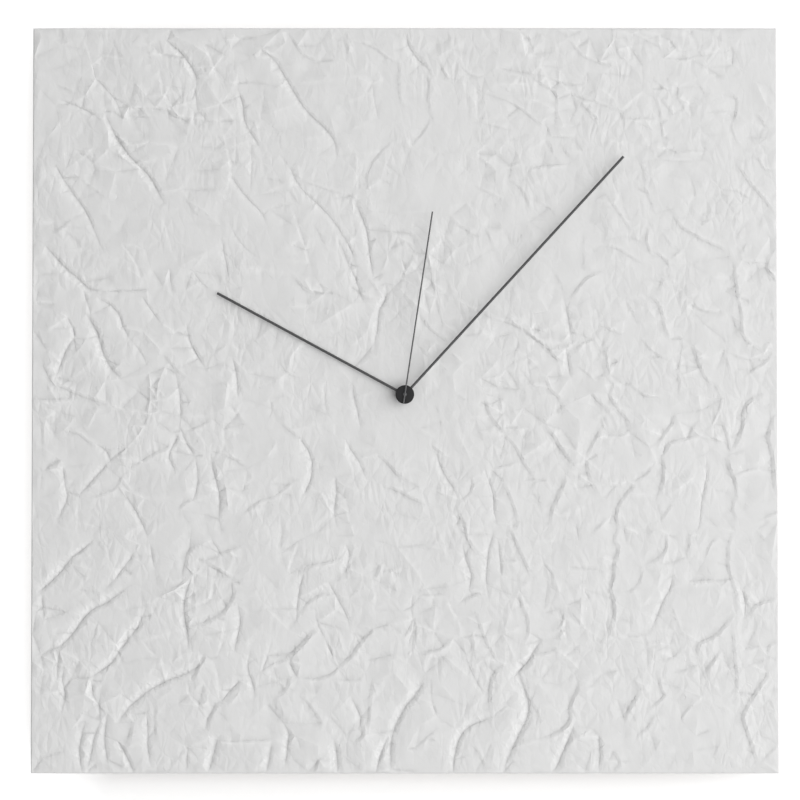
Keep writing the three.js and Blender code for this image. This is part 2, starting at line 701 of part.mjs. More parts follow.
// The upper batten has a pocket behind the keyhole for the head of the wall screw
function upperBatten() {
  const pocketFront = battenBack - pocketDepth;
  const pocket = slab(
    rectangle(-pocketWidth / 2, pocketWidth / 2, hangerHeightOverCentre - pocketHeight / 2,
      hangerHeightOverCentre + pocketHeight / 2), pocketFront, battenBack + cutOverrun);
  const pilots = hangerScrewPlaces.map(place => cylinder(hangerScrewShank + seatGap,
    battenBack - hangerScrewLength, battenBack + cutOverrun, coarseSteps, place));
  return cut(batten(-battenOuter, battenOuter, battenInner, battenOuter), [pocket, ...pilots]);
}
const uprightReach = battenInner - seatGap;
add(face, 'batten_top', upperBatten(), pine);
add(face, 'batten_bottom', batten(-battenOuter, battenOuter, -battenOuter, -battenInner), pine);
add(face, 'batten_left', batten(-battenOuter, -battenInner, -uprightReach, uprightReach), pine);
add(face, 'batten_right', batten(battenInner, battenOuter, -uprightReach, uprightReach), pine);

// A countersunk screw with a cross recess, its head's back face at a depth
function screw(shank, head, headDepth, length, back) {
  const point = back - length;
  const profile = [[0, point], [shank * screwTipShare, point + shank / 2], [shank, point + shank * 2],
    [shank, back - headDepth], [head, back], [0, back]];
  const arm = head * screwArmShare;
  const slot = head * screwSlotShare;
  const bottom = back - headDepth * screwRecessShare;
  const body = turned(profile, coarseSteps);
  const across = block(-arm, arm, bottom, back + cutOverrun, -slot, slot);
  const upright = block(-slot, slot, bottom, back + cutOverrun, -arm, arm);
  return cut(body, [across, upright]);
}

frameScrewPlaces.forEach((place, i) => {
  const solid = screw(frameScrewShank, frameScrewHead, frameScrewHeadDepth, frameScrewLength, battenBack);
  add(face, `frame_screw_${i + 1}`, solid, zinc, place);
});

[[-1, -1], [1, -1], [-1, 1], [1, 1]].forEach(([side, end], i) => {
  const pad = cylinder(bumperRadius, -bumperThickness, 0, middleSteps);
  add(face, `wall_bumper_${i + 1}`, pad, rubber, { x: side * battenRadius, z: end * battenRadius });
});

// Hanger plate: a round hole that passes the screw's head, and a slot above it that holds the shank
const hangerFront = battenBack + seatGap;
const hangerBack = hangerFront + hangerThickness;

function hangerPlate() {
  const front = hangerFront - cutOverrun;
  const back = hangerBack + cutOverrun;
  const outline = rectangle(-hangerWidth / 2, hangerWidth / 2, hangerHeightOverCentre - hangerHeight / 2,
    hangerHeightOverCentre + hangerHeight / 2, hangerHeight / 8);
  const entry = cylinder(keyholeRadius, front, back, middleSteps, { x: 0, z: keyholeHeight });
  const end = cylinder(keySlotRadius, front, back, middleSteps, { x: 0, z: hookHeight });
  const slot = block(-keySlotRadius, keySlotRadius, front, back, keyholeHeight, hookHeight);
  const screwHoles = hangerScrewPlaces.map(place => countersink(hangerScrewHead, hangerScrewHeadDepth,
    hangerScrewShank + seatGap, hangerBack, front, place));
  return cut(slab(outline, hangerFront, hangerBack), [entry, end, slot, ...screwHoles]);
}
add(face, 'hanger_plate', hangerPlate(), zinc);

['hanger_screw_left', 'hanger_screw_right'].forEach((name, i) => {
  const solid = screw(hangerScrewShank, hangerScrewHead, hangerScrewHeadDepth, hangerScrewLength, hangerBack);
  add(face, name, solid, zinc, hangerScrewPlaces[i]);
});

// Movement case: a tray for the wheels above and a battery bay below, with the snout in front

const platePosts = [
  { x: -innerHalfWidth + postInset, z: plateTop - postInset },
  { x: -innerHalfWidth + postInset, z: dividerTop + postInset },
  { x: innerHalfWidth - postInset, z: plateTop - postInset },
  { x: innerHalfWidth - postInset, z: dividerTop + postInset },
];
const corePosts = [-1, 1].map(side => ({ x: coreCentre + side * coreHalfLength, z: coilHeight }));

function post(place, top, pinTop) {
  const foot = caseFloor - caseWall / 2;
  const profile = [[0, foot], [postRadius, foot], [postRadius, top], [postPinRadius, top],
    [postPinRadius, pinTop], [0, pinTop]];
  return turned(profile, coarseSteps, place);
}

function pivotHole(place, radius, front, back) {
  return cylinder(radius + runGap, front, back, coarseSteps, place);
}

function lug({ x, z }) {
  const inner = Math.sign(x) * (caseHalfWidth - caseWall / 2);
  const outer = Math.sign(x) * (caseHalfWidth + lugReach);
  const outline = rectangle(Math.min(inner, outer), Math.max(inner, outer), z - lugHeight / 2,
    z + lugHeight / 2);
  return slab(outline, caseFront, caseFront + lugThickness);
}

function movementCase() {
  const outer = rectangle(-caseHalfWidth, caseHalfWidth, caseBottom, caseAboveAxis, caseCorner);
  const innerCorner = caseCorner - caseWall;
  const chamber = slab(rectangle(-innerHalfWidth, innerHalfWidth, dividerTop, innerTop, innerCorner),
    caseFloor, caseBack + cutOverrun);
  const bay = slab(rectangle(-innerHalfWidth, innerHalfWidth, bayBottom, bayTop), caseFloor,
    caseBack + cutOverrun);
  const coverSeat = block(-caseHalfWidth - cutOverrun, caseHalfWidth + cutOverrun, coverFront - seatGap,
    caseBack + cutOverrun, dividerTop - caseWall / 2, caseAboveAxis + cutOverrun);
  const notchInner = innerHalfWidth - contactThickness - 2 * contactGap - seatGap;
  const notches = [-1, 1].map(side => {
    const edges = [side * notchInner, side * innerHalfWidth].sort((a, b) => a - b);
    return block(edges[0], edges[1], contactFront - seatGap, caseBack + cutOverrun,
      bayTop - caseWall / 2, dividerTop + innerCorner);
  });
  const snoutFront = skinFront + snoutSetback;
  const snout = cylinder(snoutRadius, snoutFront, caseFloor - caseWall / 2, middleSteps);
  const bore = cylinder(snoutBore, snoutFront - cutOverrun, caseFloor + cutOverrun, middleSteps);
  const floorHoles = [pivotHole(thirdPlace, arborRadius, caseFloor - pivotDepth - pressGap,
    caseFloor + cutOverrun),
    pivotHole(knobPlace, arborRadius, caseFloor - pivotDepth - pressGap, caseFloor + cutOverrun)];
  const lugBores = lugHoles.map(place =>
    cylinder(lugScrewShank + seatGap, caseFront - cutOverrun, caseFront + lugThickness + cutOverrun,
      coarseSteps, place));
  const stud = cylinder(studRadius, caseFloor - caseWall / 2, centreLayer - seatGap, coarseSteps,
    minuteWorkPlace);
  const posts = [
    ...platePosts.map(place => post(place, plateFront - seatGap, plateBack + seatGap / 2)),
    ...corePosts.map(place => post(place, statorFront - seatGap, coreFront + coreThickness + seatGap)),
  ];
  const shell = cut(slab(outer, caseFront, caseBack), [chamber, bay, coverSeat, ...notches]);
  return cut(joined([shell, snout, ...lugHoles.map(lug), stud, ...posts]),
    [bore, ...floorHoles, ...lugBores]);
}
add(movement, 'movement_case', movementCase(), blackPlastic);

// The rear cover closes the wheel chamber and leaves the battery bay open
function movementCover() {
  const bottom = dividerTop - caseWall / 2 + seatGap;
  const outline = rectangle(-caseHalfWidth, caseHalfWidth, bottom, caseAboveAxis);
  const plate = slab(outline, coverFront, caseBack);
  const skirtRight = innerHalfWidth - contactGap;
  const skirtBottom = dividerTop + contactGap;
  const skirtTop = innerTop - contactGap;
  const corner = caseCorner - caseWall;
  const skirtOutline = rectangle(-skirtRight, skirtRight, skirtBottom, skirtTop, corner);
  const skirtHole = rectangle(-skirtRight + coverSkirtWall, skirtRight - coverSkirtWall,
    skirtBottom + coverSkirtWall, skirtTop - coverSkirtWall);
  const skirt = slab(skirtOutline, coverFront - coverSkirtDepth, coverFront + caseWall / 2, [skirtHole]);
  const rearHoles = [centre, fifthPlace, rotorPlace].map(place =>
    pivotHole(place, arborRadius, coverFront - cutOverrun, coverFront + pivotDepth + pressGap));
  const knobHole = cylinder(knobShaftRadius + pipeGap, coverFront - cutOverrun, caseBack + cutOverrun,
    coarseSteps, knobPlace);
  return cut(plate.add(skirt), [...rearHoles, knobHole]);
}
add(movement, 'movement_cover', movementCover(), blackPlastic);

// A round-headed screw through each lug into the board
['movement_screw_left', 'movement_screw_right'].forEach((name, i) => {
  const headFront = caseFront + lugThickness + seatGap;
  const headBack = headFront + lugScrewHeadThickness;
  const point = boardBack - lugScrewBite;
  const profile = [[0, point], [lugScrewShank, point + lugScrewShank * 2], [lugScrewShank, headFront],
    [lugScrewHead, headFront], [lugScrewHead * screwCrownShare, headBack], [0, headBack]];
  const arm = lugScrewHead * screwArmShare;
  const slot = lugScrewHead * screwSlotShare;
  const recess = block(-arm, arm, headBack - lugScrewHeadThickness / 2, headBack + cutOverrun, -slot, slot);
  add(movement, name, turned(profile, coarseSteps).subtract(recess), zinc, lugHoles[i]);
});

// The middle plate holds the inner pivots and carries the circuit board
function middlePlate() {
  const outline = rectangle(-plateHalfWidth, plateHalfWidth, plateBottom, plateTop, caseWall);
  const front = plateFront - cutOverrun;
  const back = plateBack + cutOverrun;
  const pivots = [centre, thirdPlace, fifthPlace, rotorPlace].map(place =>
    pivotHole(place, arborRadius, front, back));
  const knobHole = cylinder(knobShaftRadius + pipeGap, front, back, coarseSteps, knobPlace);
  const pinHoles = platePosts.map(place => cylinder(postPinRadius + pressGap, front, back, coarseSteps,
    place));
  const padTop = circuitFront - seatGap;
  const pads = [circuitBottom + postPinRadius * 2, circuitBottom + circuitHeight - postPinRadius * 2].map(z =>
    cylinder(postPinRadius, plateBack - plateThickness / 2, padTop, coarseSteps,
      { x: circuitLeft + postPinRadius * 1.5, z }));
  return cut(joined([slab(outline, plateFront, plateBack), ...pads]), [...pivots, knobHole, ...pinHoles]);
}
add(movement, 'middle_plate', middlePlate(), whitePlastic);

// Wheels: each turns about the y axis through its own place

const arbor = (front, back) => cylinder(arborRadius, front, back, coarseSteps);
const rearPivot = coverFront + pivotDepth;

function rotorPinion() {
  const pinion = gear(fineTeeth, fastModule, rotorPinionPhase, fifthLayer);
  return joined([arbor(plateFront + seatGap, rearPivot), pinion]);
}

function rotorMagnet() {
  return pipe(arborRadius + pressGap, magnetRadius, secondLayer, secondLayer + wheelThickness, middleSteps);
}

function fifthWheel() {
  const pinion = gear(fineTeeth, fastModule, fifthPinionPhase, secondLayer);
  const wheel = gear(fifthTeeth, fastModule, 0, fifthLayer);
  return joined([arbor(plateFront + seatGap, rearPivot), pinion, wheel]);
}

function secondWheel() {
  const pinion = gear(fineTeeth, fastModule, 0, thirdLayer);
  const wheel = gear(secondTeeth, fastModule, 0, secondLayer);
  return joined([arbor(secondArborFront, rearPivot), pinion, wheel]);
}

function thirdWheel() {
  const pinion = gear(fineTeeth, centreModule, thirdPinionPhase, centreLayer);
  const wheel = gear(thirdTeeth, fastModule, thirdWheelPhase, thirdLayer);
  return joined([arbor(caseFloor - pivotDepth, plateBack - seatGap), pinion, wheel]);
}

function centreWheel() {
  const bore = cylinder(minutePipe + pressGap, centreLayer - cutOverrun, centreLayer + layerPitch,
    middleSteps);
  return gear(centreTeeth, centreModule, 0, centreLayer).subtract(bore);
}

function minutePipeSolid() {
  const back = centreLayer + wheelThickness;
  const pinion = gear(motionTeeth, minuteWorkModule, 0, minuteWorkLayer);
  const tube = cylinder(minutePipe, minutePipeFront, back, middleSteps);
  const bore = cylinder(minuteBore, minutePipeFront - cutOverrun, back + cutOverrun, middleSteps);
  return joined([tube, pinion]).subtract(bore);
}

function minuteWorkWheel() {
  const pinion = gear(motionTeeth, hourModule, minutePinionPhase, hourLayer);
  const wheel = gear(minuteWorkTeeth, minuteWorkModule, minuteWorkPhase, minuteWorkLayer);
  const neck = cylinder(studRadius + runGap + hourModule, hourLayer, minuteWorkLayer + wheelThickness,
    coarseSteps);
  const bore = cylinder(studRadius + runGap, hourLayer - cutOverrun, centreLayer, coarseSteps);
  return joined([pinion, wheel, neck]).subtract(bore);
}

function hourWheel() {
  const back = hourLayer + wheelThickness;
  const wheel = gear(hourTeeth, hourModule, 0, hourLayer);
  const tube = cylinder(hourPipe, hourPipeFront, back, middleSteps);
  const bore = cylinder(hourBore, hourPipeFront - cutOverrun, back + cutOverrun, middleSteps);
  return joined([tube, wheel]).subtract(bore);
}

function setKnob() {
  const headFront = caseBack + seatGap;
  const headBack = headFront + knobHeadThickness;
  const flutes = slab(toothedOutline(knobFlutes, (2 * knobHeadRadius) / knobFlutes, 0), headFront, headBack);
  const pivot = cylinder(arborRadius, caseFloor - pivotDepth, minuteWorkLayer + wheelThickness / 2,
    coarseSteps);
  const shaft = cylinder(knobShaftRadius, minuteWorkLayer, headBack - knobHeadThickness / 2, coarseSteps);
  const pinion = gear(motionTeeth, minuteWorkModule, knobPinionPhase, minuteWorkLayer);
  return joined([pivot, shaft, pinion, flutes]);
}

add(movement, 'rotor_pinion', rotorPinion(), steel, rotorPlace);
add(movement, 'rotor_magnet', rotorMagnet(), magnetGrey, rotorPlace);
add(movement, 'fifth_wheel', fifthWheel(), whitePlastic, fifthPlace);
add(movement, 'second_wheel', secondWheel(), whitePlastic);
add(movement, 'third_wheel', thirdWheel(), whitePlastic, thirdPlace);
add(movement, 'centre_wheel', centreWheel(), brass);
add(movement, 'minute_pipe', minutePipeSolid(), brass);
add(movement, 'minute_work_wheel', minuteWorkWheel(), whitePlastic, minuteWorkPlace);
add(movement, 'hour_wheel', hourWheel(), whitePlastic);
add(movement, 'set_knob', setKnob(), whitePlastic, knobPlace);

// Motor: the stator runs round the rotor and joins the two ends of the coil's core

function motorStator() {
  const ringRadius = magnetRadius + statorAirGap + statorRingWall;
  const front = statorFront;
  const back = statorBack;
  const half = coreWidth / 2;
  const [left, right] = corePosts.map(place => place.x);
  const top = coilHeight + half;
  const bar = block(left - half, right + half, front, back, rotorPlace.z - half, rotorPlace.z + half);
  const legs = [left, right].map(x => block(x - half, x + half, front, back, rotorPlace.z - half, top));
  const ring = cylinder(ringRadius, front, back, fineSteps, rotorPlace);
  const hole = cylinder(magnetRadius + statorAirGap, front - cutOverrun, back + cutOverrun, fineSteps,
    rotorPlace);
  const notches = [-1, 1].map(side => cylinder(statorNotch, front - cutOverrun, back + cutOverrun,
    coarseSteps,
    { x: rotorPlace.x, z: rotorPlace.z + side * (ringRadius - statorNotch / 4) }));
  const pins = corePosts.map(place =>
    cylinder(postPinRadius + pressGap, front - cutOverrun, back + cutOverrun, coarseSteps, place));
  return cut(joined([bar, ...legs, ring]), [hole, ...notches, ...pins]);
}
add(movement, 'motor_stator', motorStator(), steel);

function coilCore() {
  const half = coreWidth / 2;
  const back = coreFront + coreThickness;
  const [left, right] = corePosts.map(place => place.x);
  const bar = block(left - half, right + half, coreFront, back, coilHeight - half, coilHeight + half);
  const pins = corePosts.map(place =>
    cylinder(postPinRadius + pressGap, coreFront - cutOverrun, back + cutOverrun, coarseSteps, place));
  return cut(bar, pins);
}
add(movement, 'coil_core', coilCore(), steel);

// The bobbin has a flange at each end and a flat bore for the core
function coilBobbin() {
  const start = coreCentre - coilLength / 2 - coilFlangeThickness;
  const end = coreCentre + coilLength / 2 + coilFlangeThickness;
  const profile = [[0, start], [coilFlangeRadius, start], [coilFlangeRadius, start + coilFlangeThickness],
    [coilTubeRadius, start + coilFlangeThickness], [coilTubeRadius, end - coilFlangeThickness],
    [coilFlangeRadius, end - coilFlangeThickness], [coilFlangeRadius, end], [0, end]];
  const half = coreWidth / 2 + contactGap;
  const deep = coreThickness / 2 + contactGap;
  const bore = block(start - cutOverrun, end + cutOverrun, coilDepth - deep, coilDepth + deep,
    coilHeight - half, coilHeight + half);
  return laidAlongX(profile, middleSteps, coilDepth, coilHeight).subtract(bore);
}
add(movement, 'coil_bobbin', coilBobbin(), whitePlastic);

function coilWinding() {
  const start = coreCentre - coilLength / 2 + pressGap;
  const end = coreCentre + coilLength / 2 - pressGap;
  const bore = coilTubeRadius + pressGap;
  const profile = [[bore, start], [coilWireRadius, start], [coilWireRadius, end], [bore, end], [bore, start]];
  return laidAlongX(profile, middleSteps, coilDepth, coilHeight);
}
add(movement, 'coil_winding', coilWinding(), copper);

// Circuit board with its chip and quartz crystal

add(movement, 'circuit_board', block(circuitLeft, circuitRight, circuitFront, circuitBack,
  circuitBottom, circuitBottom + circuitHeight), circuitGreen);

const circuitMiddle = (circuitLeft + circuitRight) / 2;
const chipBottom = circuitBottom + circuitHeight / 4;
const partFront = circuitBack + contactGap;
add(movement, 'clock_chip', block(circuitMiddle - chipSide / 2, circuitMiddle + chipSide / 2,
  partFront, partFront + chipThickness, chipBottom, chipBottom + chipSide), blackPlastic);

function quartzCrystal() {
  const start = circuitMiddle - crystalLength / 2;
  const end = circuitMiddle + crystalLength / 2;
  const edge = crystalRadius / 4;
  const profile = [[0, start], [crystalRadius - edge, start], [crystalRadius, start + edge],
    [crystalRadius, end - edge], [crystalRadius - edge, end], [0, end]];
  const height = circuitBottom + circuitHeight - crystalRadius * 3;
  return laidAlongX(profile, coarseSteps, partFront + crystalRadius, height);
}
add(movement, 'quartz_crystal', quartzCrystal(), steel);

// Battery and its two contacts

function batteryCell() {
  const left = batteryRight - batteryLength;
  const shoulder = batteryRight - batteryNubLength;
  const edge = batteryNubLength / 2;
  const profile = [[0, left], [batteryRadius - edge, left], [batteryRadius, left + edge],
    [batteryRadius, shoulder - edge], [batteryRadius - edge, shoulder], [batteryNubRadius, shoulder],
    [batteryNubRadius, batteryRight], [0, batteryRight]];
  return laidAlongX(profile, fineSteps, batteryDepth, batteryHeight);
}
add(movement, 'battery_cell', batteryCell(), batterySleeve);

// Each contact stands on an end wall of the bay and leads through a notch to the circuit board
const contactSpan = batteryRadius * contactSpanShare;
const contactTop = circuitBottom + circuitHeight / 5;

function contactBase(side) {
  const outer = innerHalfWidth - contactGap;
  const edges = [side * outer, side * (outer - contactThickness)].sort((a, b) => a - b);
  const foot = block(...edges, batteryDepth - contactSpan, contactFront + contactDepth,
    batteryHeight - contactSpan, bayTop - contactGap);
  const tab = block(...edges, contactFront, contactFront + contactDepth,
    bayTop - caseWall, dividerTop + contactGap + contactThickness);
  return foot.add(tab);
}

function contactPlus() {
  const outer = innerHalfWidth - contactGap;
  const arm = block(outer - contactThickness, outer, contactFront, contactFront + contactDepth,
    dividerTop, contactTop);
  return contactBase(1).add(arm);
}
add(movement, 'contact_plus', contactPlus(), steel);

// The minus contact has a leaf bowed towards the battery and a strip along the bay's wall
function contactMinus() {
  const left = -(innerHalfWidth - contactGap);
  const low = dividerTop + contactGap;
  const armRight = circuitMiddle + contactThickness;
  const armLeft = armRight - contactThickness * 5;
  const strip = block(left, armRight, contactFront, contactFront + contactDepth, low, low + contactThickness);
  const arm = block(armLeft, armRight, contactFront, contactFront + contactThickness, low, contactTop);
  const shape = new THREE.Shape();
  const rootX = left + contactThickness / 2;
  const tipX = left + contactThickness + leafReach;
  const end = contactSpan * leafSpanShare;
  const start = -end;
  shape.moveTo(rootX, start);
  shape.quadraticCurveTo(tipX + leafReach - contactThickness, 0, rootX, end);
  shape.lineTo(rootX, end - contactThickness * 2);
  shape.quadraticCurveTo(tipX + leafReach - contactThickness * 4, 0, rootX, start + contactThickness * 2);
  const geometry = new THREE.ExtrudeGeometry(shape, {
    depth: contactSpan, bevelEnabled: false, curveSegments: cornerSteps * 3,
  });
  geometry.translate(0, batteryDepth, batteryHeight - contactSpan / 2);
  return joined([contactBase(-1), solidOf(geometry), strip, arm]);
}
add(movement, 'contact_minus', contactMinus(), steel);

// Hands: round rods on collets, modelled pointing to twelve and turned to their rest position

function colletHand(bore, rodLength, depth) {
  const front = depth - colletThickness / 2;
  const back = depth + colletThickness / 2;
  const radius = bore + colletWall;
  const disc = cylinder(radius, front, back, middleSteps);
  const hole = cylinder(bore, front - cutOverrun, back + cutOverrun, middleSteps);
  return disc.add(rod(rodRadius, bore + colletWall / 2, rodLength, depth)).subtract(hole);
}
const hourHand = add(movement, 'hour_hand', colletHand(hourPipe + pressGap, hourHandLength, hourRodDepth),
  handPaint);
hourHand.rotation.y = hourHandTurn;

const minuteHand = add(movement, 'minute_hand',
  colletHand(minutePipe + pressGap, minuteHandLength, minuteRodDepth), handPaint);
minuteHand.rotation.y = minuteHandTurn;

// The cap closes the minute pipe and hides both collets
function hubCap() {
  const inner = hubCapRadius - hubCapEdge;
  const profile = [[0, hubCapFront], [inner, hubCapFront], [hubCapRadius, hubCapFront + hubCapEdge],
    [hubCapRadius, hubCapBack], [0, hubCapBack]];
  const socket = cylinder(minutePipe + pressGap, minutePipeFront - pressGap, hubCapBack + cutOverrun,
    middleSteps);
  const bore = cylinder(minuteBore, hubCapFront - cutOverrun, hubCapBack, coarseSteps);
  return cut(turned(profile, fineSteps), [socket, bore]);
}
add(movement, 'hub_cap', hubCap(), handPaint);

function secondHandSolid() {
  const boss = cylinder(arborRadius + pressGap + secondBossWall, secondBossFront, secondBossBack,
    middleSteps);
  const hole = cylinder(arborRadius + pressGap, secondArborFront - pressGap, secondBossBack + cutOverrun,
    coarseSteps);
  return boss.add(rod(secondRodRadius, -secondTailLength, secondHandLength, secondRodDepth)).subtract(hole);
}
const secondHand = add(movement, 'second_hand', secondHandSolid(), handPaint);
secondHand.rotation.y = secondHandTurn;

export default clock;
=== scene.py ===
import math
import bmesh
import bpy
import numpy as np
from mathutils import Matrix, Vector
from mathutils.geometry import delaunay_2d_cdt

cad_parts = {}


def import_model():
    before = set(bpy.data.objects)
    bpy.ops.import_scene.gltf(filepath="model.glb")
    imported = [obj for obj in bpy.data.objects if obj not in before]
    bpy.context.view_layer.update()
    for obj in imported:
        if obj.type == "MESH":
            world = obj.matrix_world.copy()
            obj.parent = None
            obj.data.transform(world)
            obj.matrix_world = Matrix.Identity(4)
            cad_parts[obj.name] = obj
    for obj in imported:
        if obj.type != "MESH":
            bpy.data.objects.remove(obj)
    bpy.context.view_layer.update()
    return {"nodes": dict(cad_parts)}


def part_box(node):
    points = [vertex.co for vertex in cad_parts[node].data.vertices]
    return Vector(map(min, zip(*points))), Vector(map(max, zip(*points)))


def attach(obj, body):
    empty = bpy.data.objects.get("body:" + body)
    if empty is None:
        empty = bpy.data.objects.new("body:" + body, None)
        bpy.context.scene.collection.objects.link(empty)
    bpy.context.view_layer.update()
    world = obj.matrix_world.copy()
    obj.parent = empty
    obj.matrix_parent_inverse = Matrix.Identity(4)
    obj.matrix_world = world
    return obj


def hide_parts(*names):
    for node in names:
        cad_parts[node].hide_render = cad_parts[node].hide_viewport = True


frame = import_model()
nodes = frame["nodes"]
print("frame loaded:", len(nodes), "nodes")

rng = np.random.default_rng(11)


# One shader socket. Sums and products of wires and numbers add their own Math nodes
class Wire:
    def __init__(self, finish, socket):
        self.finish = finish
        self.socket = socket

    def worked(self, operation, *others):
        inputs = {0: self}
        inputs.update({i + 1: other for i, other in enumerate(others)})
        return self.finish.node("ShaderNodeMath", {"operation": operation}, inputs)

    def __add__(self, other):
        return self.worked("ADD", other)

    def __mul__(self, other):
        return self.worked("MULTIPLY", other)

    def __sub__(self, other):
        return self.worked("SUBTRACT", other)

    def __rsub__(self, other):
        return self.finish.node("ShaderNodeMath", {"operation": "SUBTRACT"}, {0: other, 1: self})

    __radd__ = __add__
    __rmul__ = __mul__


# One material and its node tree, on a Principled shader
class Finish:
    def __init__(self, name, color=None, roughness=0.5, metallic=0.0, **shader):
        self.material = bpy.data.materials.new(name)
        self.material.use_nodes = True
        self.tree = self.material.node_tree
        self.shader = self.tree.nodes["Principled BSDF"]
        self.set("Roughness", roughness)
        self.set("Metallic", metallic)
        for key, value in shader.items():
            self.set(key, value)
        if color is not None:
            self.set("Base Color", color)

    # Any node: its type, its settings, the values or wires of its sockets, and the output wanted
    def node(self, kind, settings, inputs, output=0):
        made = self.tree.nodes.new(kind)
        for key, value in settings.items():
            if key == "stops":
                self.setStops(made.color_ramp, value)
            else:
                setattr(made, key, value)
        for key, value in inputs.items():
            self.feed(made.inputs[key], value)
        return Wire(self, made.outputs[output])

    def setStops(self, ramp, stops):
        while len(ramp.elements) < len(stops):
            ramp.elements.new(0.5)
        for element, (place, shade) in zip(ramp.elements, stops):
            element.position = place
            element.color = shade if len(shade) == 4 else (*shade, 1)

    def feed(self, socket, value):
        if isinstance(value, Wire):
            self.tree.links.new(value.socket, socket)
        elif isinstance(value, tuple) and len(value) == 3 and socket.type == "RGBA":
            socket.default_value = (*value, 1)
        else:
            socket.default_value = value

    def set(self, name, value):
        self.feed(self.shader.inputs[name.replace("_", " ")], value)

    # Object coordinates, stretched by a scale for each axis
    def place(self, scale=(1, 1, 1), turn=(0, 0, 0)):
        where = self.node("ShaderNodeTexCoord", {}, {}, "Object")
        return self.node("ShaderNodeMapping", {}, {"Vector": where, "Scale": scale, "Rotation": turn})

    def noise(self, where, scale, detail=4.0, roughness=0.5, output="Fac"):
        inputs = {"Vector": where, "Scale": scale, "Detail": detail, "Roughness": roughness}
        return self.node("ShaderNodeTexNoise", {}, inputs, output)

    def cells(self, where, scale, feature="F1", output="Distance"):
        inputs = {"Vector": where, "Scale": scale}
        return self.node("ShaderNodeTexVoronoi", {"feature": feature}, inputs, output)

    def ramp(self, value, stops):
        return self.node("ShaderNodeValToRGB", {"stops": stops}, {0: value}, "Color")

    def mixed(self, share, first, second, blend="MIX"):
        settings = {"data_type": "RGBA", "blend_type": blend}
        return self.node("ShaderNodeMix", settings, {0: share, 6: first, 7: second}, 2)

    # A bump of real depth in metres, for a height between 0 and 1
    def bump(self, height, depth, strength=1.0, below=None):
        inputs = {"Height": height, "Distance": depth, "Strength": strength}
        if below is not None:
            inputs["Normal"] = below
        return self.node("ShaderNodeBump", {}, inputs)


# Paper: near white, with a fine tooth and small sharp wrinkles that run mostly upright. Its colour is
# darkened where folds lie deep and paled where they stand out, by a point attribute of the sheet: painted
# shade in the creases and painted highlight on the crests
paperValues = {"color": (0.80, 0.80, 0.797), "mottle": 0.03, "paintedShadeDepth": 0.26, "paintedShadeMiddle": 0.33,
               "roughness": 0.5, "uneven": 0.16, "wrinkleScale": 170, "wrinkleDepth": 0.00055,
               "netScale": 430, "netDepth": 0.00008, "toothScale": 2600, "toothDepth": 0.000012,
               "driftScale": 34, "driftReach": 0.016, "stretch": (1, 0.3, 0.62), "patchScale": 40,
               "patchEdges": (0.42, 0.66), "mottleScale": 9}


def paperFinish():
    finish = Finish("paper")
    where = finish.place()
    drift = finish.noise(finish.place((1, 1, 0.6)), paperValues["driftScale"], 3, 0.55, "Color")
    reach = paperValues["driftReach"]
    bent = finish.node("ShaderNodeVectorMath", {"operation": "MULTIPLY_ADD"},
                       {0: drift, 1: (reach, 0.0, reach), 2: where})
    flat = finish.node("ShaderNodeMapping", {}, {"Vector": bent, "Scale": paperValues["stretch"]})
    wrinkles = finish.cells(flat, paperValues["wrinkleScale"], "DISTANCE_TO_EDGE", "Distance")
    net = finish.cells(flat, paperValues["netScale"], "DISTANCE_TO_EDGE", "Distance")
    tooth = finish.noise(where, paperValues["toothScale"], 3, 0.6)
    low, high = paperValues["patchEdges"]
    patch = finish.ramp(finish.noise(where, paperValues["patchScale"], 4, 0.6),
                        [(low, (0, 0, 0)), (high, (1, 1, 1))])
    coarse = finish.bump(wrinkles * (patch + 0.25), paperValues["wrinkleDepth"])
    fine = finish.bump(net * (patch + 0.2), paperValues["netDepth"], 1.0, coarse)
    finish.set("Normal", finish.bump(tooth, paperValues["toothDepth"], 0.6, fine))
    mottle = finish.noise(where, paperValues["mottleScale"], 4, 0.6)
    pale = paperValues["color"]
    deep = tuple(value * (1 - paperValues["mottle"]) for value in pale)
    fold = finish.node("ShaderNodeAttribute", {"attribute_name": "foldTone"}, {}, "Fac")
    # Painted shade and highlight: the colour is multiplied darker as the sheet's fold attribute rises from
    # crest to valley
    shades = [(1 - paperValues["paintedShadeDepth"] * share,) * 3 for share in (0, paperValues["paintedShadeMiddle"], 1)]
    tone = finish.ramp(fold, list(zip((0.0, 0.5, 1.0), shades)))
    finish.set("Base Color", finish.mixed(1.0, finish.mixed(mottle, deep, pale), tone, "MULTIPLY"))
    finish.set("Roughness", paperValues["roughness"] + tooth * paperValues["uneven"])
    return finish.material


# Satin paint on thin metal, with a faint orange peel and rubbed spots
paintValues = {"peelScale": 900, "peelDepth": 0.00001, "rubbedScale": 120, "rubbedGain": 1.5, "uneven": 0.2}


def paintFinish(name, color, roughness, shine):
    finish = Finish(name, Specular_IOR_Level=shine)
    where = finish.place()
    speckle = finish.noise(where, paintValues["peelScale"], 4, 0.6)
    rubbed = finish.noise(where, paintValues["rubbedScale"], 4, 0.6)
    bright = tuple(value * paintValues["rubbedGain"] for value in color)
    finish.set("Base Color", finish.mixed(rubbed, color, bright))
    finish.set("Roughness", roughness + (speckle - 0.5) * paintValues["uneven"])
    finish.set("Normal", finish.bump(speckle, paintValues["peelDepth"]))
    return finish.material


# Planed wood, its grain along one axis: long wavy rings, fine pores and a few darker streaks
woodValues = {"stretch": 0.07, "swayScale": 14, "swayReach": 0.02, "ringScale": 62, "ringWaver": 2.2,
              "poreScale": 1500, "early": (0.70, 0.50, 0.27), "middle": (0.62, 0.41, 0.20),
              "late": (0.45, 0.26, 0.11), "streak": (0.40, 0.23, 0.10), "streakShare": 0.35,
              "roughness": 0.55, "uneven": 0.25, "ringDepth": 0.00006, "poreDepth": 0.00004}


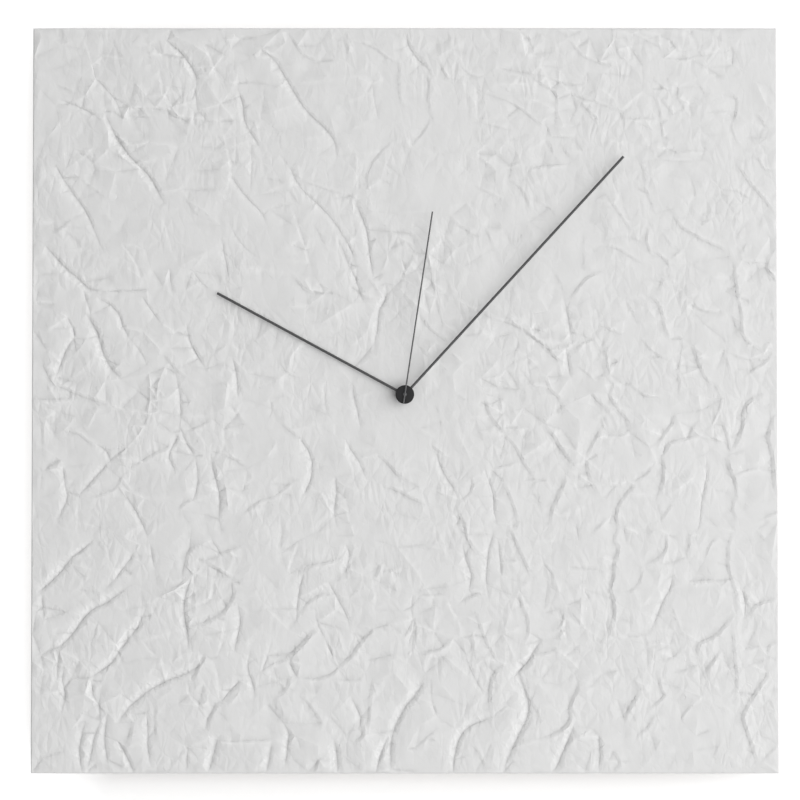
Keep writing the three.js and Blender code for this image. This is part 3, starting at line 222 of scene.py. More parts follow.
def woodFinish(name, along):
    stretch = {"x": (woodValues["stretch"], 1, 1), "z": (1, 1, woodValues["stretch"])}[along]
    finish = Finish(name)
    where = finish.place(stretch)
    sway = finish.noise(where, woodValues["swayScale"], 3, 0.5, "Color")
    bent = finish.node("ShaderNodeVectorMath", {"operation": "MULTIPLY_ADD"},
                       {0: sway, 1: (woodValues["swayReach"],) * 3, 2: where})
    rings = finish.node("ShaderNodeTexWave", {"wave_type": "RINGS", "rings_direction": "Y"},
                        {"Vector": bent, "Scale": woodValues["ringScale"], "Detail": 3, "Detail Scale": 1.4,
                         "Distortion": woodValues["ringWaver"]}, "Fac")
    pores = finish.noise(finish.place(stretch), woodValues["poreScale"], 2, 0.7)
    shades = [woodValues[key] for key in ("early", "middle", "late")]
    tone = finish.ramp(rings, list(zip((0.0, 0.55, 1.0), shades)))
    streaked = finish.mixed(pores * woodValues["streakShare"], tone, woodValues["streak"])
    finish.set("Base Color", streaked)
    finish.set("Roughness", woodValues["roughness"] + pores * woodValues["uneven"])
    low = finish.bump(rings, woodValues["ringDepth"])
    finish.set("Normal", finish.bump(pores, woodValues["poreDepth"], 1.0, low))
    return finish.material


# Pressed fibre board: brown with pale and dark fibres lying every way
boardValues = {"fibreScale": 850, "fleckScale": 900, "fleckStretch": (1, 1, 0.35), "fleckShare": 0.5,
               "cloudScale": 18, "cloudShare": 0.5, "cloud": (0.30, 0.18, 0.09),
               "dark": (0.23, 0.13, 0.062), "brown": (0.36, 0.225, 0.115), "pale": (0.50, 0.345, 0.2),
               "roughness": 0.74, "uneven": 0.2, "depth": 0.00008}


def boardFinish():
    finish = Finish("fibreboard")
    where = finish.place()
    fibres = finish.noise(where, boardValues["fibreScale"], 6, 0.75)
    flecks = finish.cells(finish.place(boardValues["fleckStretch"]), boardValues["fleckScale"])
    clouds = finish.noise(where, boardValues["cloudScale"], 4, 0.6)
    shades = [boardValues[key] for key in ("dark", "brown", "pale")]
    tone = finish.ramp(fibres, list(zip((0.3, 0.5, 0.72), shades)))
    finish.set("Base Color", finish.mixed(clouds * boardValues["cloudShare"], tone, boardValues["cloud"]))
    finish.set("Roughness", boardValues["roughness"] + fibres * boardValues["uneven"])
    finish.set("Normal", finish.bump(fibres + flecks * boardValues["fleckShare"], boardValues["depth"]))
    return finish.material


# Bright plated or turned metal: fine brush marks along one axis and slightly dull patches
metalValues = {"markScale": 1300, "markDepth": 0.000006, "markUneven": 0.22, "cloudScale": 260,
               "cloudUneven": 0.15, "dullShare": 0.24}


def metalFinish(name, color, roughness, stretch=(1, 1, 1)):
    finish = Finish(name, metallic=1.0)
    marks = finish.noise(finish.place(stretch), metalValues["markScale"], 3, 0.6)
    cloud = finish.noise(finish.place(), metalValues["cloudScale"], 4, 0.6)
    dull = tuple(value * (1 - metalValues["dullShare"]) for value in color)
    finish.set("Base Color", finish.mixed(cloud, color, dull))
    finish.set("Roughness", roughness + (marks - 0.5) * metalValues["markUneven"]
               + (cloud - 0.5) * metalValues["cloudUneven"])
    finish.set("Normal", finish.bump(marks, metalValues["markDepth"]))
    return finish.material


# Moulded plastic with a spark-eroded grain
plasticValues = {"grainDepth": 0.00002, "grainScale": 1900, "cloudScale": 60, "palerGain": 1.16,
                 "palerLift": 0.004, "uneven": 0.25}


def plasticFinish(name, color, roughness, grain=plasticValues["grainDepth"],
                  grainScale=plasticValues["grainScale"]):
    finish = Finish(name)
    where = finish.place()
    texture = finish.noise(where, grainScale, 4, 0.7)
    cloud = finish.noise(where, plasticValues["cloudScale"], 3, 0.5)
    paler = tuple(min(1, value * plasticValues["palerGain"] + plasticValues["palerLift"]) for value in color)
    finish.set("Base Color", finish.mixed(cloud, color, paler))
    finish.set("Roughness", roughness + (texture - 0.5) * plasticValues["uneven"])
    finish.set("Normal", finish.bump(texture, grain))
    return finish.material


# Enamelled wire, wound in close turns along x. Its colour is banded with the turns: painted shade between
# them and a painted highlight on each
wireValues = {"turnScale": 1600, "turnDepth": 0.00008, "dark": (0.30, 0.085, 0.025),
              "bright": (0.62, 0.22, 0.075), "roughness": 0.42, "polish": 0.14}


def wireFinish():
    finish = Finish("windingWire", metallic=1.0)
    turns = finish.node("ShaderNodeTexWave", {"bands_direction": "X"},
                        {"Vector": finish.place(), "Scale": wireValues["turnScale"], "Distortion": 0.4,
                         "Detail": 1}, "Fac")
    # Painted shade and highlight: the same bands that bump the turns darken the colour in the gaps and
    # brighten it on the turns
    finish.set("Base Color", finish.mixed(turns, wireValues["dark"], wireValues["bright"]))
    finish.set("Roughness", wireValues["roughness"] - turns * wireValues["polish"])
    finish.set("Normal", finish.bump(turns, wireValues["turnDepth"]))
    return finish.material


# Circuit lacquer over copper tracks that show as paler lines
circuitValues = {"trackScale": 260, "trackWidth": 0.05, "lacquer": (0.008, 0.075, 0.03),
                 "paler": (0.011, 0.1, 0.04), "tracks": (0.03, 0.2, 0.07), "weaveScale": 1600,
                 "weaveDepth": 0.00001, "roughness": 0.32, "uneven": 0.2}


def circuitFinish():
    finish = Finish("circuitLacquer", Coat_Weight=0.4, Coat_Roughness=0.15)
    where = finish.place()
    flat = finish.place((1, 1, 1), (math.pi / 2, 0, 0))
    tracks = finish.node("ShaderNodeTexBrick", {"offset": 0.5},
                         {"Vector": flat, "Scale": circuitValues["trackScale"],
                          "Mortar Size": circuitValues["trackWidth"], "Color1": circuitValues["lacquer"],
                          "Color2": circuitValues["paler"], "Mortar": circuitValues["tracks"]}, "Color")
    weave = finish.noise(where, circuitValues["weaveScale"], 2, 0.5)
    finish.set("Base Color", tracks)
    finish.set("Roughness", circuitValues["roughness"] + weave * circuitValues["uneven"])
    finish.set("Normal", finish.bump(weave, circuitValues["weaveDepth"]))
    return finish.material


# Printed foil sleeve of the cell along x: a dark body, one copper band and bare grey ends, a little scuffed
sleeveValues = {"grey": (0.30, 0.30, 0.31), "body": (0.018, 0.04, 0.075), "copper": (0.42, 0.20, 0.07),
                "bandStarts": (0.0, 0.022, 0.70, 0.955), "scuffScale": 300, "scuffShare": 0.12,
                "scuff": (0.5, 0.5, 0.5), "scuffDepth": 0.00001, "roughness": 0.22, "uneven": 0.2}


def sleeveFinish(left, right):
    finish = Finish("cellSleeve", metallic=0.35, Coat_Weight=0.5, Coat_Roughness=0.12)
    where = finish.node("ShaderNodeTexCoord", {}, {}, "Object")
    along = finish.node("ShaderNodeSeparateXYZ", {}, {0: where}, "X")
    share = (along - left) * (1 / (right - left))
    shades = [sleeveValues[key] for key in ("grey", "body", "copper", "grey")]
    stripes = finish.ramp(share, list(zip(sleeveValues["bandStarts"], shades)))
    stripes.socket.node.color_ramp.interpolation = "CONSTANT"
    scuffs = finish.noise(finish.place((1, 3, 3)), sleeveValues["scuffScale"], 5, 0.65)
    worn = finish.mixed(scuffs * sleeveValues["scuffShare"], stripes, sleeveValues["scuff"])
    finish.set("Base Color", worn)
    finish.set("Roughness", sleeveValues["roughness"] + scuffs * sleeveValues["uneven"])
    finish.set("Normal", finish.bump(scuffs, sleeveValues["scuffDepth"]))
    return finish.material


print("finishes defined")


# A mesh object from arrays, added to the scene
def meshObject(name, points, faces, material, smoothAngle=0.6):
    mesh = bpy.data.meshes.new(name)
    mesh.from_pydata(np.asarray(points).tolist(), [], faces)
    mesh.materials.append(material)
    work = bmesh.new()
    work.from_mesh(mesh)
    bmesh.ops.recalc_face_normals(work, faces=work.faces)
    work.to_mesh(mesh)
    work.free()
    mesh.shade_smooth()
    mesh.set_sharp_from_angle(angle=smoothAngle)
    piece = bpy.data.objects.new(name, mesh)
    bpy.context.scene.collection.objects.link(piece)
    return piece


# Makes a finished object stand for CAD nodes and ride with their body
def standsFor(piece, body, slot, *replaced):
    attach(piece, body)
    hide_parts(*replaced)
    return piece


# Quads between neighbouring rings, given as arrays of point numbers with the same count
def ringQuads(rings):
    quads = []
    for lower, upper in zip(rings[:-1], rings[1:]):
        quads += np.stack([lower, np.roll(lower, -1), np.roll(upper, -1), upper], axis=1).tolist()
    return quads


# A solid from rings of points, closed by a flat face at each end or joined end to start
def ringedSolid(rings, looped=False):
    count, around = rings.shape[:2]
    numbers = np.arange(count * around).reshape(count, around)
    faces = ringQuads(list(numbers) + ([numbers[0]] if looped else []))
    if not looped:
        faces += [numbers[0][::-1].tolist(), numbers[-1].tolist()]
    return rings.reshape(-1, 3), faces


# Several solids as one set of points and faces
def together(solids):
    points, faces, start = [], [], 0
    for solidPoints, solidFaces in solids:
        points.append(solidPoints)
        faces += [[corner + start for corner in face] for face in solidFaces]
        start += len(solidPoints)
    return np.concatenate(points), faces


# A body turned about a line along y: each pair of the profile gives the radius of one ring and its depth
def turnedSolid(profile, steps, x, z, looped=False):
    angle = np.linspace(0, 2 * math.pi, steps, endpoint=False)
    rings = [np.stack([x + radius * np.cos(angle), np.full(steps, depth), z + radius * np.sin(angle)], 1)
             for radius, depth in profile]
    return ringedSolid(np.array(rings)[:, ::-1], looped)


# The rounded edge between two straight stretches: a quarter circle in a few steps
def quarter(radius, depth, edge, firstTurn, steps=4):
    turn = np.linspace(0, math.pi / 2, steps + 1)
    if firstTurn == "out":
        return [(radius - edge * (1 - math.sin(t)), depth + edge * (1 - math.cos(t))) for t in turn]
    return [(radius - edge * (1 - math.cos(t)), depth - edge * (1 - math.sin(t))) for t in turn]


# A round rod along a direction in the face's plane, with rounded ends.
# Each ring stands square to the direction, at a distance along it
def rodSolid(radius, start, end, depth, turn, x, z, steps=32):
    ahead = np.array([math.sin(turn), 0.0, math.cos(turn)])
    across = np.array([math.cos(turn), 0.0, -math.sin(turn)])
    angle = np.linspace(0, 2 * math.pi, steps, endpoint=False)
    cap = np.linspace(0.08, math.pi / 2, 5)
    spots = [(start + radius * 0.5 * (1 - math.sin(t)),
              radius * (1 - 0.5 * (1 - math.sin(t))) * (0.4 + 0.6 * math.sin(t))) for t in cap]
    spots += [(end - (spot - start), size) for spot, size in reversed(spots)]
    rings = [np.array([x, depth, z]) + ahead * spot
             + size * (np.outer(np.cos(angle), across) + np.outer(np.sin(angle), [0, 1, 0]))
             for spot, size in spots]
    return ringedSolid(np.array(rings))


# A copy of a CAD node with its doubles merged, its flat faces whole and its edges rounded. Faces square
# to an axis are shaded flat
def roundedCopy(node, body, slot, material, edge, angle=0.6, steps=2):
    mesh = nodes[node].data.copy()
    work = bmesh.new()
    work.from_mesh(mesh)
    bmesh.ops.remove_doubles(work, verts=work.verts, dist=2e-6)
    bmesh.ops.dissolve_limit(work, angle_limit=0.02, verts=work.verts, edges=work.edges)
    work.to_mesh(mesh)
    work.free()
    mesh.materials.clear()
    mesh.materials.append(material)
    piece = bpy.data.objects.new("soft_" + node, mesh)
    bpy.context.scene.collection.objects.link(piece)
    rounding = piece.modifiers.new("edges", "BEVEL")
    rounding.width = edge
    rounding.segments = steps
    rounding.limit_method = "ANGLE"
    rounding.angle_limit = angle
    rounding.use_clamp_overlap = True
    mesh.shade_smooth()
    bpy.context.view_layer.update()
    graph = bpy.context.evaluated_depsgraph_get()
    finished = bpy.data.meshes.new_from_object(piece.evaluated_get(graph))
    piece.modifiers.clear()
    piece.data = finished
    finished.set_sharp_from_angle(angle=angle)
    facing = np.empty(len(finished.polygons) * 3)
    finished.polygons.foreach_get("normal", facing)
    level = np.abs(facing.reshape(-1, 3)).max(1) > 0.9999
    finished.polygons.foreach_set("use_smooth", ~level)
    return standsFor(piece, body, slot, node)


# The face's creases as traced from the photograph, as pixels x, y, x, y. The first number of each
# row is the strength, from 1, faint, to 5. The light falls from the right, so a line that is bright on its
# left and dark on its right is a valley, the other way round a ridge, a lone dark line is a rise towards
# the light and a lone bright line a fall
creasePixels = {
    "valley": [
        (3, 57, 168, 72, 192, 87, 213, 97, 236, 103, 250),
        (4, 47, 247, 62, 265, 80, 281, 90, 290, 105, 292), (2, 105, 292, 125, 292, 148, 291),
        (2, 60, 100, 80, 108, 105, 121), (2, 97, 80, 107, 90, 117, 103, 124, 120),
        (4, 106, 113, 115, 135, 130, 157, 150, 178, 165, 205), (3, 168, 42, 185, 58, 197, 80, 193, 103),
        (3, 237, 85, 243, 105, 246, 125, 258, 145, 265, 155),
        (2, 232, 178, 240, 190, 250, 202, 262, 215, 268, 228), (1, 252, 140, 252, 170, 250, 200),
        (2, 222, 240, 226, 262, 229, 280), (1, 230, 225, 240, 243, 255, 258),
        (3, 262, 50, 275, 62, 285, 78, 300, 103, 312, 118, 325, 130, 334, 143, 337, 158),
        (2, 280, 155, 290, 170, 300, 188, 320, 208, 335, 225, 350, 250, 357, 268),
        (3, 352, 197, 360, 215, 367, 235, 369, 255, 373, 280), (3, 405, 35, 410, 50, 420, 63, 430, 72),
        (1, 372, 85, 375, 105, 378, 120), (1, 385, 165, 390, 185), (2, 84, 290, 88, 303, 92, 316),
        (4, 88, 316, 97, 332, 101, 345, 106, 360, 113, 371, 122, 380),
        (3, 76, 338, 68, 350, 63, 362, 57, 378), (2, 100, 300, 112, 307, 119, 315, 124, 328, 130, 340),
        (2, 143, 298, 153, 313, 162, 325), (1, 133, 343, 143, 356, 147, 366),
        (3, 187, 325, 190, 342, 196, 354, 206, 370), (2, 176, 375, 180, 395, 181, 415, 180, 432),
        (3, 115, 457, 105, 468, 93, 481, 80, 496), (3, 181, 430, 176, 442, 171, 452, 170, 460, 176, 473),
        (2, 181, 430, 187, 444, 195, 457), (2, 196, 458, 198, 475, 197, 490, 193, 502),
        (3, 211, 452, 213, 470, 217, 485, 220, 500, 219, 520), (3, 233, 360, 237, 378, 238, 398),
        (3, 64, 468, 66, 485, 68, 500, 62, 512, 58, 527), (2, 97, 445, 107, 452, 111, 461),
        (3, 120, 488, 127, 497, 135, 510, 143, 525, 147, 535), (1, 68, 318, 74, 330, 75, 340),
        (2, 44, 368, 52, 382, 58, 388), (2, 193, 272, 202, 284, 213, 292),
        (2, 170, 270, 172, 285, 174, 298), (1, 270, 400, 272, 412, 268, 420),
        (2, 352, 272, 357, 285, 361, 298, 365, 305), (3, 385, 285, 386, 297, 379, 312, 377, 330, 374, 345),
        (2, 324, 382, 325, 400, 327, 416), (3, 352, 385, 354, 400, 357, 412, 360, 428),
        (2, 345, 440, 350, 450, 357, 460, 362, 470, 367, 482),
        (3, 300, 440, 308, 452, 312, 465, 310, 480, 304, 495), (3, 335, 478, 336, 495, 334, 512, 337, 528),
        (3, 436, 455, 440, 468, 446, 480, 453, 490, 458, 500),
        (2, 484, 470, 488, 482, 492, 495, 493, 510, 496, 525), (2, 500, 400, 502, 415, 503, 430),
        (2, 518, 340, 515, 352, 514, 362), (1, 525, 345, 527, 365, 530, 385),
        (2, 563, 300, 567, 320, 569, 335, 571, 345), (3, 565, 350, 567, 365, 569, 378),
        (2, 681, 340, 679, 355, 676, 370), (2, 704, 455, 705, 470, 703, 485, 700, 500, 698, 520, 695, 535),
        (4, 38, 594, 50, 583, 62, 571, 73, 557), (2, 73, 557, 84, 549, 95, 540),
        (4, 42, 655, 52, 649, 60, 646, 72, 635, 84, 618, 94, 609, 108, 602, 120, 593, 133, 585),
        (4, 90, 678, 103, 669, 113, 661, 120, 650, 130, 637, 138, 627, 142, 618, 148, 605),
        (4, 118, 722, 125, 712, 133, 703, 140, 697, 152, 688, 165, 681, 178, 676, 192, 670, 200, 664),
        (3, 140, 545, 132, 557, 124, 568, 115, 580), (2, 151, 545, 153, 560, 155, 568),
        (4, 193, 575, 187, 590, 184, 605, 185, 620, 188, 635, 188, 652), (2, 212, 540, 218, 550, 222, 556),
        (3, 238, 605, 240, 620, 237, 638, 234, 652), (3, 250, 650, 248, 668, 253, 685, 255, 700),
        (2, 271, 640, 268, 655, 262, 670), (3, 240, 680, 230, 690, 222, 700),
        (5, 217, 738, 214, 750, 211, 762, 208, 771), (4, 272, 740, 269, 755, 266, 771),
        (3, 188, 745, 187, 758, 186, 770), (3, 147, 712, 148, 730, 148, 745, 151, 765),
        (3, 92, 680, 94, 695, 100, 705, 106, 715), (4, 108, 712, 106, 725, 105, 740, 107, 755, 110, 770),
        (4, 86, 720, 82, 735, 80, 750, 82, 770), (4, 101, 720, 95, 735, 92, 750, 88, 770),
        (4, 118, 740, 124, 750, 130, 762, 134, 771), (3, 65, 665, 63, 680, 66, 695, 62, 710),
        (3, 60, 650, 58, 670, 60, 690, 59, 705), (3, 42, 595, 44, 608, 45, 620),
        (1, 98, 622, 95, 635, 91, 645), (2, 303, 575, 299, 590, 297, 605, 296, 620),
        (3, 345, 545, 349, 555, 346, 570, 347, 580), (2, 328, 582, 335, 595, 342, 608, 347, 618, 350, 632),
        (2, 315, 610, 318, 625, 325, 640, 332, 655, 337, 668), (3, 290, 662, 293, 670, 296, 676),
        (3, 350, 695, 355, 705, 360, 718, 358, 728),
        (5, 425, 672, 420, 685, 412, 697, 405, 705, 398, 718, 393, 730, 390, 745, 390, 768),
        (2, 412, 595, 411, 610, 413, 625, 409, 640, 407, 655), (3, 462, 545, 465, 560, 470, 575, 468, 590),
        (3, 492, 535, 488, 548, 486, 565, 485, 580, 487, 595), (2, 497, 540, 499, 560, 500, 575),
        (4, 540, 640, 533, 650, 527, 660, 520, 668, 513, 676),
        (4, 492, 716, 478, 721, 466, 727, 458, 738, 454, 752, 452, 771),
        (5, 518, 675, 524, 692, 527, 705, 525, 718, 518, 732, 512, 745, 506, 758, 502, 771),
        (2, 465, 655, 470, 670, 478, 685, 483, 695), (1, 430, 680, 431, 700, 436, 715),
        (5, 333, 738, 336, 750, 337, 771), (4, 388, 735, 381, 750, 375, 771),
        (4, 283, 722, 288, 732, 287, 745, 284, 771), (3, 671, 575, 668, 588, 661, 602, 655, 616, 650, 628),
        (3, 740, 590, 743, 603, 742, 618), (4, 572, 725, 567, 738, 561, 752, 555, 765, 550, 771),
        (3, 597, 735, 598, 755, 597, 771), (2, 583, 590, 588, 600), (2, 575, 525, 577, 540),
    ],
    "ridge": [
        (2, 166, 368, 159, 385, 158, 400, 160, 412),
        (2, 150, 375, 151, 395, 148, 418, 142, 432, 130, 446, 118, 458), (2, 160, 597, 175, 590, 187, 582),
        (1, 645, 645, 655, 643, 668, 645),
    ],
    "rise": [
        (1, 58, 86, 77, 93), (2, 130, 108, 165, 110, 178, 118, 200, 120, 220, 122), (1, 220, 30, 232, 50),
        (1, 80, 178, 95, 190, 110, 200), (1, 110, 150, 125, 160, 140, 170), (2, 55, 235, 72, 222),
        (1, 180, 190, 190, 205, 195, 215), (1, 116, 35, 118, 50, 125, 60), (1, 150, 35, 150, 55),
        (1, 262, 50, 280, 62), (1, 290, 192, 300, 205), (1, 300, 180, 320, 188, 352, 197),
        (2, 392, 143, 378, 157, 368, 172, 367, 190), (2, 430, 72, 428, 95, 430, 110, 433, 120),
        (2, 432, 120, 420, 137, 410, 150), (1, 352, 42, 370, 46, 385, 57, 395, 62),
        (2, 399, 60, 400, 100, 408, 108), (1, 330, 30, 334, 50), (1, 347, 30, 348, 55),
        (2, 290, 35, 303, 55, 320, 62), (2, 437, 58, 445, 75, 450, 80),
        (1, 460, 60, 465, 72, 480, 77, 490, 70), (1, 470, 85, 470, 125), (1, 483, 95, 483, 120),
        (1, 448, 30, 450, 50), (2, 518, 30, 530, 42, 533, 55), (2, 505, 102, 520, 110, 540, 126),
        (2, 508, 180, 522, 192, 530, 212), (1, 475, 155, 495, 172), (1, 472, 185, 500, 200),
        (1, 315, 225, 325, 245), (2, 415, 255, 403, 275), (1, 450, 218, 465, 232, 480, 238),
        (2, 530, 75, 540, 85, 552, 92, 556, 100, 555, 125), (2, 567, 38, 580, 55, 595, 62, 610, 68),
        (1, 613, 40, 618, 55, 630, 68), (1, 632, 35, 650, 43, 658, 48), (1, 570, 95, 600, 105, 618, 112),
        (1, 580, 105, 597, 120), (1, 620, 121, 655, 121), (2, 650, 90, 658, 110, 662, 140, 665, 150),
        (1, 660, 100, 672, 115), (1, 675, 98, 690, 120), (1, 695, 80, 705, 98),
        (2, 727, 92, 735, 102, 732, 125), (2, 755, 115, 765, 130),
        (3, 733, 160, 745, 180, 760, 198, 770, 210, 777, 215), (1, 720, 190, 735, 192, 748, 200),
        (3, 670, 210, 680, 228, 700, 240, 722, 250, 728, 258), (1, 745, 225, 735, 238),
        (2, 648, 228, 645, 240, 650, 255, 660, 258), (2, 605, 195, 615, 210, 625, 225, 633, 235),
        (1, 622, 205, 630, 222), (1, 640, 165, 645, 180), (1, 690, 180, 694, 198),
        (3, 768, 255, 765, 270, 773, 280), (1, 665, 265, 668, 280), (1, 550, 137, 570, 138),
        (1, 645, 195, 655, 215), (3, 60, 386, 75, 393, 85, 397, 100, 402, 107, 404),
        (3, 33, 401, 50, 402, 70, 401), (2, 38, 303, 56, 305), (2, 165, 355, 172, 365, 180, 373, 188, 378),
        (3, 178, 437, 170, 448, 157, 454, 143, 463, 132, 470), (2, 187, 438, 190, 432, 200, 428, 213, 420),
        (3, 193, 500, 185, 505, 179, 510), (2, 222, 455, 235, 460, 245, 467),
        (2, 232, 405, 240, 418, 245, 425), (3, 47, 471, 55, 466, 62, 461),
        (2, 65, 432, 78, 434, 88, 441, 97, 447),
        (2, 88, 500, 102, 496, 112, 492, 118, 487, 122, 480, 130, 472), (3, 122, 480, 128, 488, 133, 494),
        (2, 46, 418, 44, 432, 45, 450), (1, 212, 355, 222, 350, 228, 343),
        (2, 240, 520, 252, 508, 262, 502, 275, 498, 290, 485, 300, 480),
        (2, 293, 275, 300, 285, 308, 292, 325, 294), (2, 368, 278, 376, 290, 382, 300),
        (1, 405, 270, 402, 280), (2, 431, 270, 433, 290, 438, 310, 443, 325),
        (2, 420, 318, 430, 330, 440, 338, 446, 342), (1, 445, 275, 450, 290, 455, 300),
        (2, 490, 320, 505, 323, 518, 328, 530, 337, 545, 347, 553, 357, 558, 362), (1, 532, 315, 530, 330),
        (1, 281, 365, 290, 375, 300, 378), (2, 280, 423, 292, 433, 300, 440),
        (3, 378, 455, 388, 465, 398, 476, 405, 480), (1, 405, 480, 420, 488),
        (3, 383, 486, 398, 491, 410, 498, 425, 504), (2, 431, 446, 438, 452, 446, 457),
        (2, 458, 503, 467, 497, 472, 486, 471, 478), (3, 457, 505, 459, 515, 464, 527, 466, 540),
        (3, 502, 482, 508, 495, 513, 508, 517, 522), (3, 505, 437, 513, 446, 520, 458, 527, 470, 535, 480),
        (3, 484, 395, 486, 408, 490, 418, 496, 426, 503, 435), (2, 490, 470, 505, 467, 518, 463),
        (1, 455, 395, 465, 400), (1, 435, 400, 440, 418, 442, 435),
        (3, 600, 273, 585, 280, 577, 290, 570, 299), (2, 598, 325, 610, 331, 620, 335),
        (2, 573, 352, 582, 345, 592, 342), (3, 545, 378, 549, 390, 557, 398, 561, 407),
        (4, 543, 425, 551, 435, 558, 446, 566, 458, 572, 467),
        (4, 565, 475, 561, 488, 556, 500, 551, 510, 549, 525),
        (3, 603, 375, 611, 385, 609, 398, 617, 410, 626, 422, 628, 434),
        (3, 606, 415, 600, 430, 591, 445, 586, 458, 586, 470, 590, 483, 598, 497),
        (3, 645, 295, 655, 303, 660, 315, 663, 328, 668, 340), (2, 662, 272, 660, 285, 655, 295),
        (2, 690, 305, 700, 311, 713, 313, 720, 311),
        (3, 733, 260, 733, 275, 735, 290, 737, 305, 740, 318, 740, 332, 745, 342, 755, 348, 762, 354),
        (3, 690, 345, 694, 358, 698, 368, 705, 380, 715, 388), (2, 722, 352, 726, 365, 729, 378),
        (2, 720, 400, 717, 412, 711, 425), (3, 718, 415, 722, 428, 726, 440, 728, 452),
        (4, 762, 396, 748, 402, 742, 412, 740, 428, 735, 442, 728, 455),
        (4, 724, 458, 728, 470, 733, 482, 735, 495), (2, 735, 495, 731, 508, 734, 520),
        (2, 733, 477, 745, 472, 758, 470), (4, 768, 405, 770, 420, 766, 438, 770, 455, 771, 470, 774, 500),
        (2, 778, 512, 768, 516, 760, 520), (3, 674, 415, 669, 427, 662, 436, 655, 448),
        (4, 661, 455, 662, 470, 661, 482, 658, 493, 655, 503), (3, 663, 455, 668, 445, 685, 440, 698, 437),
        (1, 698, 437, 710, 440, 722, 442), (2, 698, 422, 690, 430, 687, 440),
        (3, 633, 485, 625, 495, 618, 505, 615, 515, 616, 525), (1, 618, 485, 610, 492, 605, 500),
        (2, 610, 515, 600, 525, 590, 535), (1, 655, 462, 645, 475, 633, 482),
        (2, 672, 503, 665, 513, 660, 522), (1, 555, 275, 560, 285), (1, 625, 300, 630, 312, 637, 325),
        (1, 608, 340, 606, 360, 608, 375), (2, 770, 355, 762, 365, 750, 372, 742, 380),
        (1, 590, 395, 596, 405, 602, 410), (4, 206, 655, 200, 665, 193, 680),
        (4, 200, 545, 190, 552, 186, 565, 184, 580), (3, 205, 561, 218, 569, 232, 577),
        (2, 218, 556, 228, 552, 240, 548),
        (4, 233, 582, 234, 595, 228, 607, 221, 615, 212, 620, 200, 625, 190, 628),
        (2, 262, 672, 272, 665, 285, 660), (4, 223, 700, 215, 708, 210, 717, 207, 728),
        (2, 218, 741, 240, 741, 262, 740, 275, 738), (4, 134, 721, 131, 733, 127, 746),
        (2, 158, 700, 156, 720, 157, 740), (3, 303, 575, 308, 567, 320, 565, 340, 560),
        (3, 301, 614, 309, 603, 320, 596, 330, 595), (3, 380, 565, 374, 580),
        (2, 380, 573, 392, 571, 400, 568), (5, 285, 660, 296, 650, 303, 643, 310, 635, 316, 630),
        (4, 338, 668, 350, 657, 357, 648, 363, 640, 372, 628), (3, 298, 678, 315, 679, 330, 675, 338, 668),
        (2, 335, 680, 350, 681, 360, 680), (4, 278, 695, 286, 688, 290, 676),
        (2, 300, 695, 308, 702, 317, 715, 322, 722), (3, 372, 682, 370, 700, 369, 715, 367, 730),
        (3, 418, 655, 425, 652, 437, 650, 445, 645, 452, 638), (2, 418, 597, 430, 596, 443, 595),
        (3, 415, 625, 414, 640, 412, 652), (3, 459, 603, 466, 599, 475, 595, 485, 594),
        (3, 465, 535, 470, 545, 477, 555), (3, 510, 530, 516, 545, 522, 558, 528, 572, 533, 580),
        (2, 503, 562, 515, 562), (3, 518, 590, 521, 605, 526, 618, 527, 632, 522, 645),
        (3, 475, 612, 479, 625, 484, 638, 490, 650, 495, 660), (3, 472, 635, 472, 655),
        (4, 505, 664, 496, 671, 490, 682, 489, 698, 491, 714), (2, 415, 747, 425, 738, 437, 728),
        (4, 355, 741, 362, 735, 363, 725), (3, 318, 758, 314, 771), (2, 470, 740, 480, 755, 485, 770),
        (4, 622, 528, 613, 538, 617, 550, 613, 562, 612, 576, 609, 588, 612, 600, 613, 615, 608, 630,
         601, 640),
        (2, 601, 640, 600, 652), (3, 666, 535, 664, 550, 655, 560, 645, 566),
        (2, 640, 568, 638, 582, 628, 592, 620, 592), (2, 688, 535, 687, 548, 684, 558),
        (2, 718, 538, 708, 545, 703, 560), (3, 687, 583, 697, 582, 712, 581),
        (3, 732, 532, 727, 545, 726, 562, 728, 575, 733, 590, 737, 602), (2, 755, 530, 762, 540),
        (3, 748, 615, 752, 607, 760, 603, 772, 600),
        (4, 730, 617, 722, 627, 713, 636, 703, 641, 697, 645, 695, 655),
        (3, 720, 650, 712, 660, 705, 670, 704, 680), (3, 731, 625, 732, 645, 734, 665, 735, 685, 733, 705),
        (4, 762, 660, 765, 675, 755, 690, 747, 703, 741, 716, 745, 730, 750, 745, 756, 765),
        (3, 776, 644, 768, 645, 765, 655), (2, 743, 650, 758, 647), (2, 660, 662, 672, 657, 680, 648),
        (4, 579, 680, 575, 692, 569, 705, 569, 718, 562, 728, 550, 735, 536, 740),
        (4, 640, 690, 633, 700, 627, 710, 623, 720), (3, 655, 670, 659, 685, 662, 695, 655, 703, 645, 710),
        (3, 655, 715, 645, 728, 635, 737), (2, 690, 705, 683, 712, 680, 720),
        (2, 558, 630, 562, 620, 565, 610), (2, 543, 563, 550, 572, 553, 578),
        (2, 555, 650, 545, 653, 533, 655), (2, 530, 700, 537, 712, 540, 722), (1, 625, 638, 645, 636),
        (3, 612, 750, 618, 762, 612, 771), (2, 715, 745, 712, 757), (2, 760, 760, 770, 750, 778, 742),
        (1, 670, 605, 675, 620, 680, 632), (1, 545, 77, 558, 83, 570, 85, 586, 84),
        (1, 662, 60, 680, 61, 700, 57), (1, 676, 154, 690, 153, 702, 154),
        (1, 655, 160, 670, 161, 690, 162), (1, 640, 185, 648, 196),
        (2, 650, 250, 658, 256, 664, 262, 668, 268), (1, 682, 250, 675, 256, 667, 264),
        (2, 600, 246, 615, 249, 628, 257, 640, 264), (1, 601, 224, 605, 232, 604, 242),
        (1, 583, 230, 583, 250, 582, 270), (1, 740, 262, 755, 263, 766, 264),
        (1, 750, 152, 758, 163, 762, 170, 775, 170), (1, 514, 140, 516, 155, 518, 166),
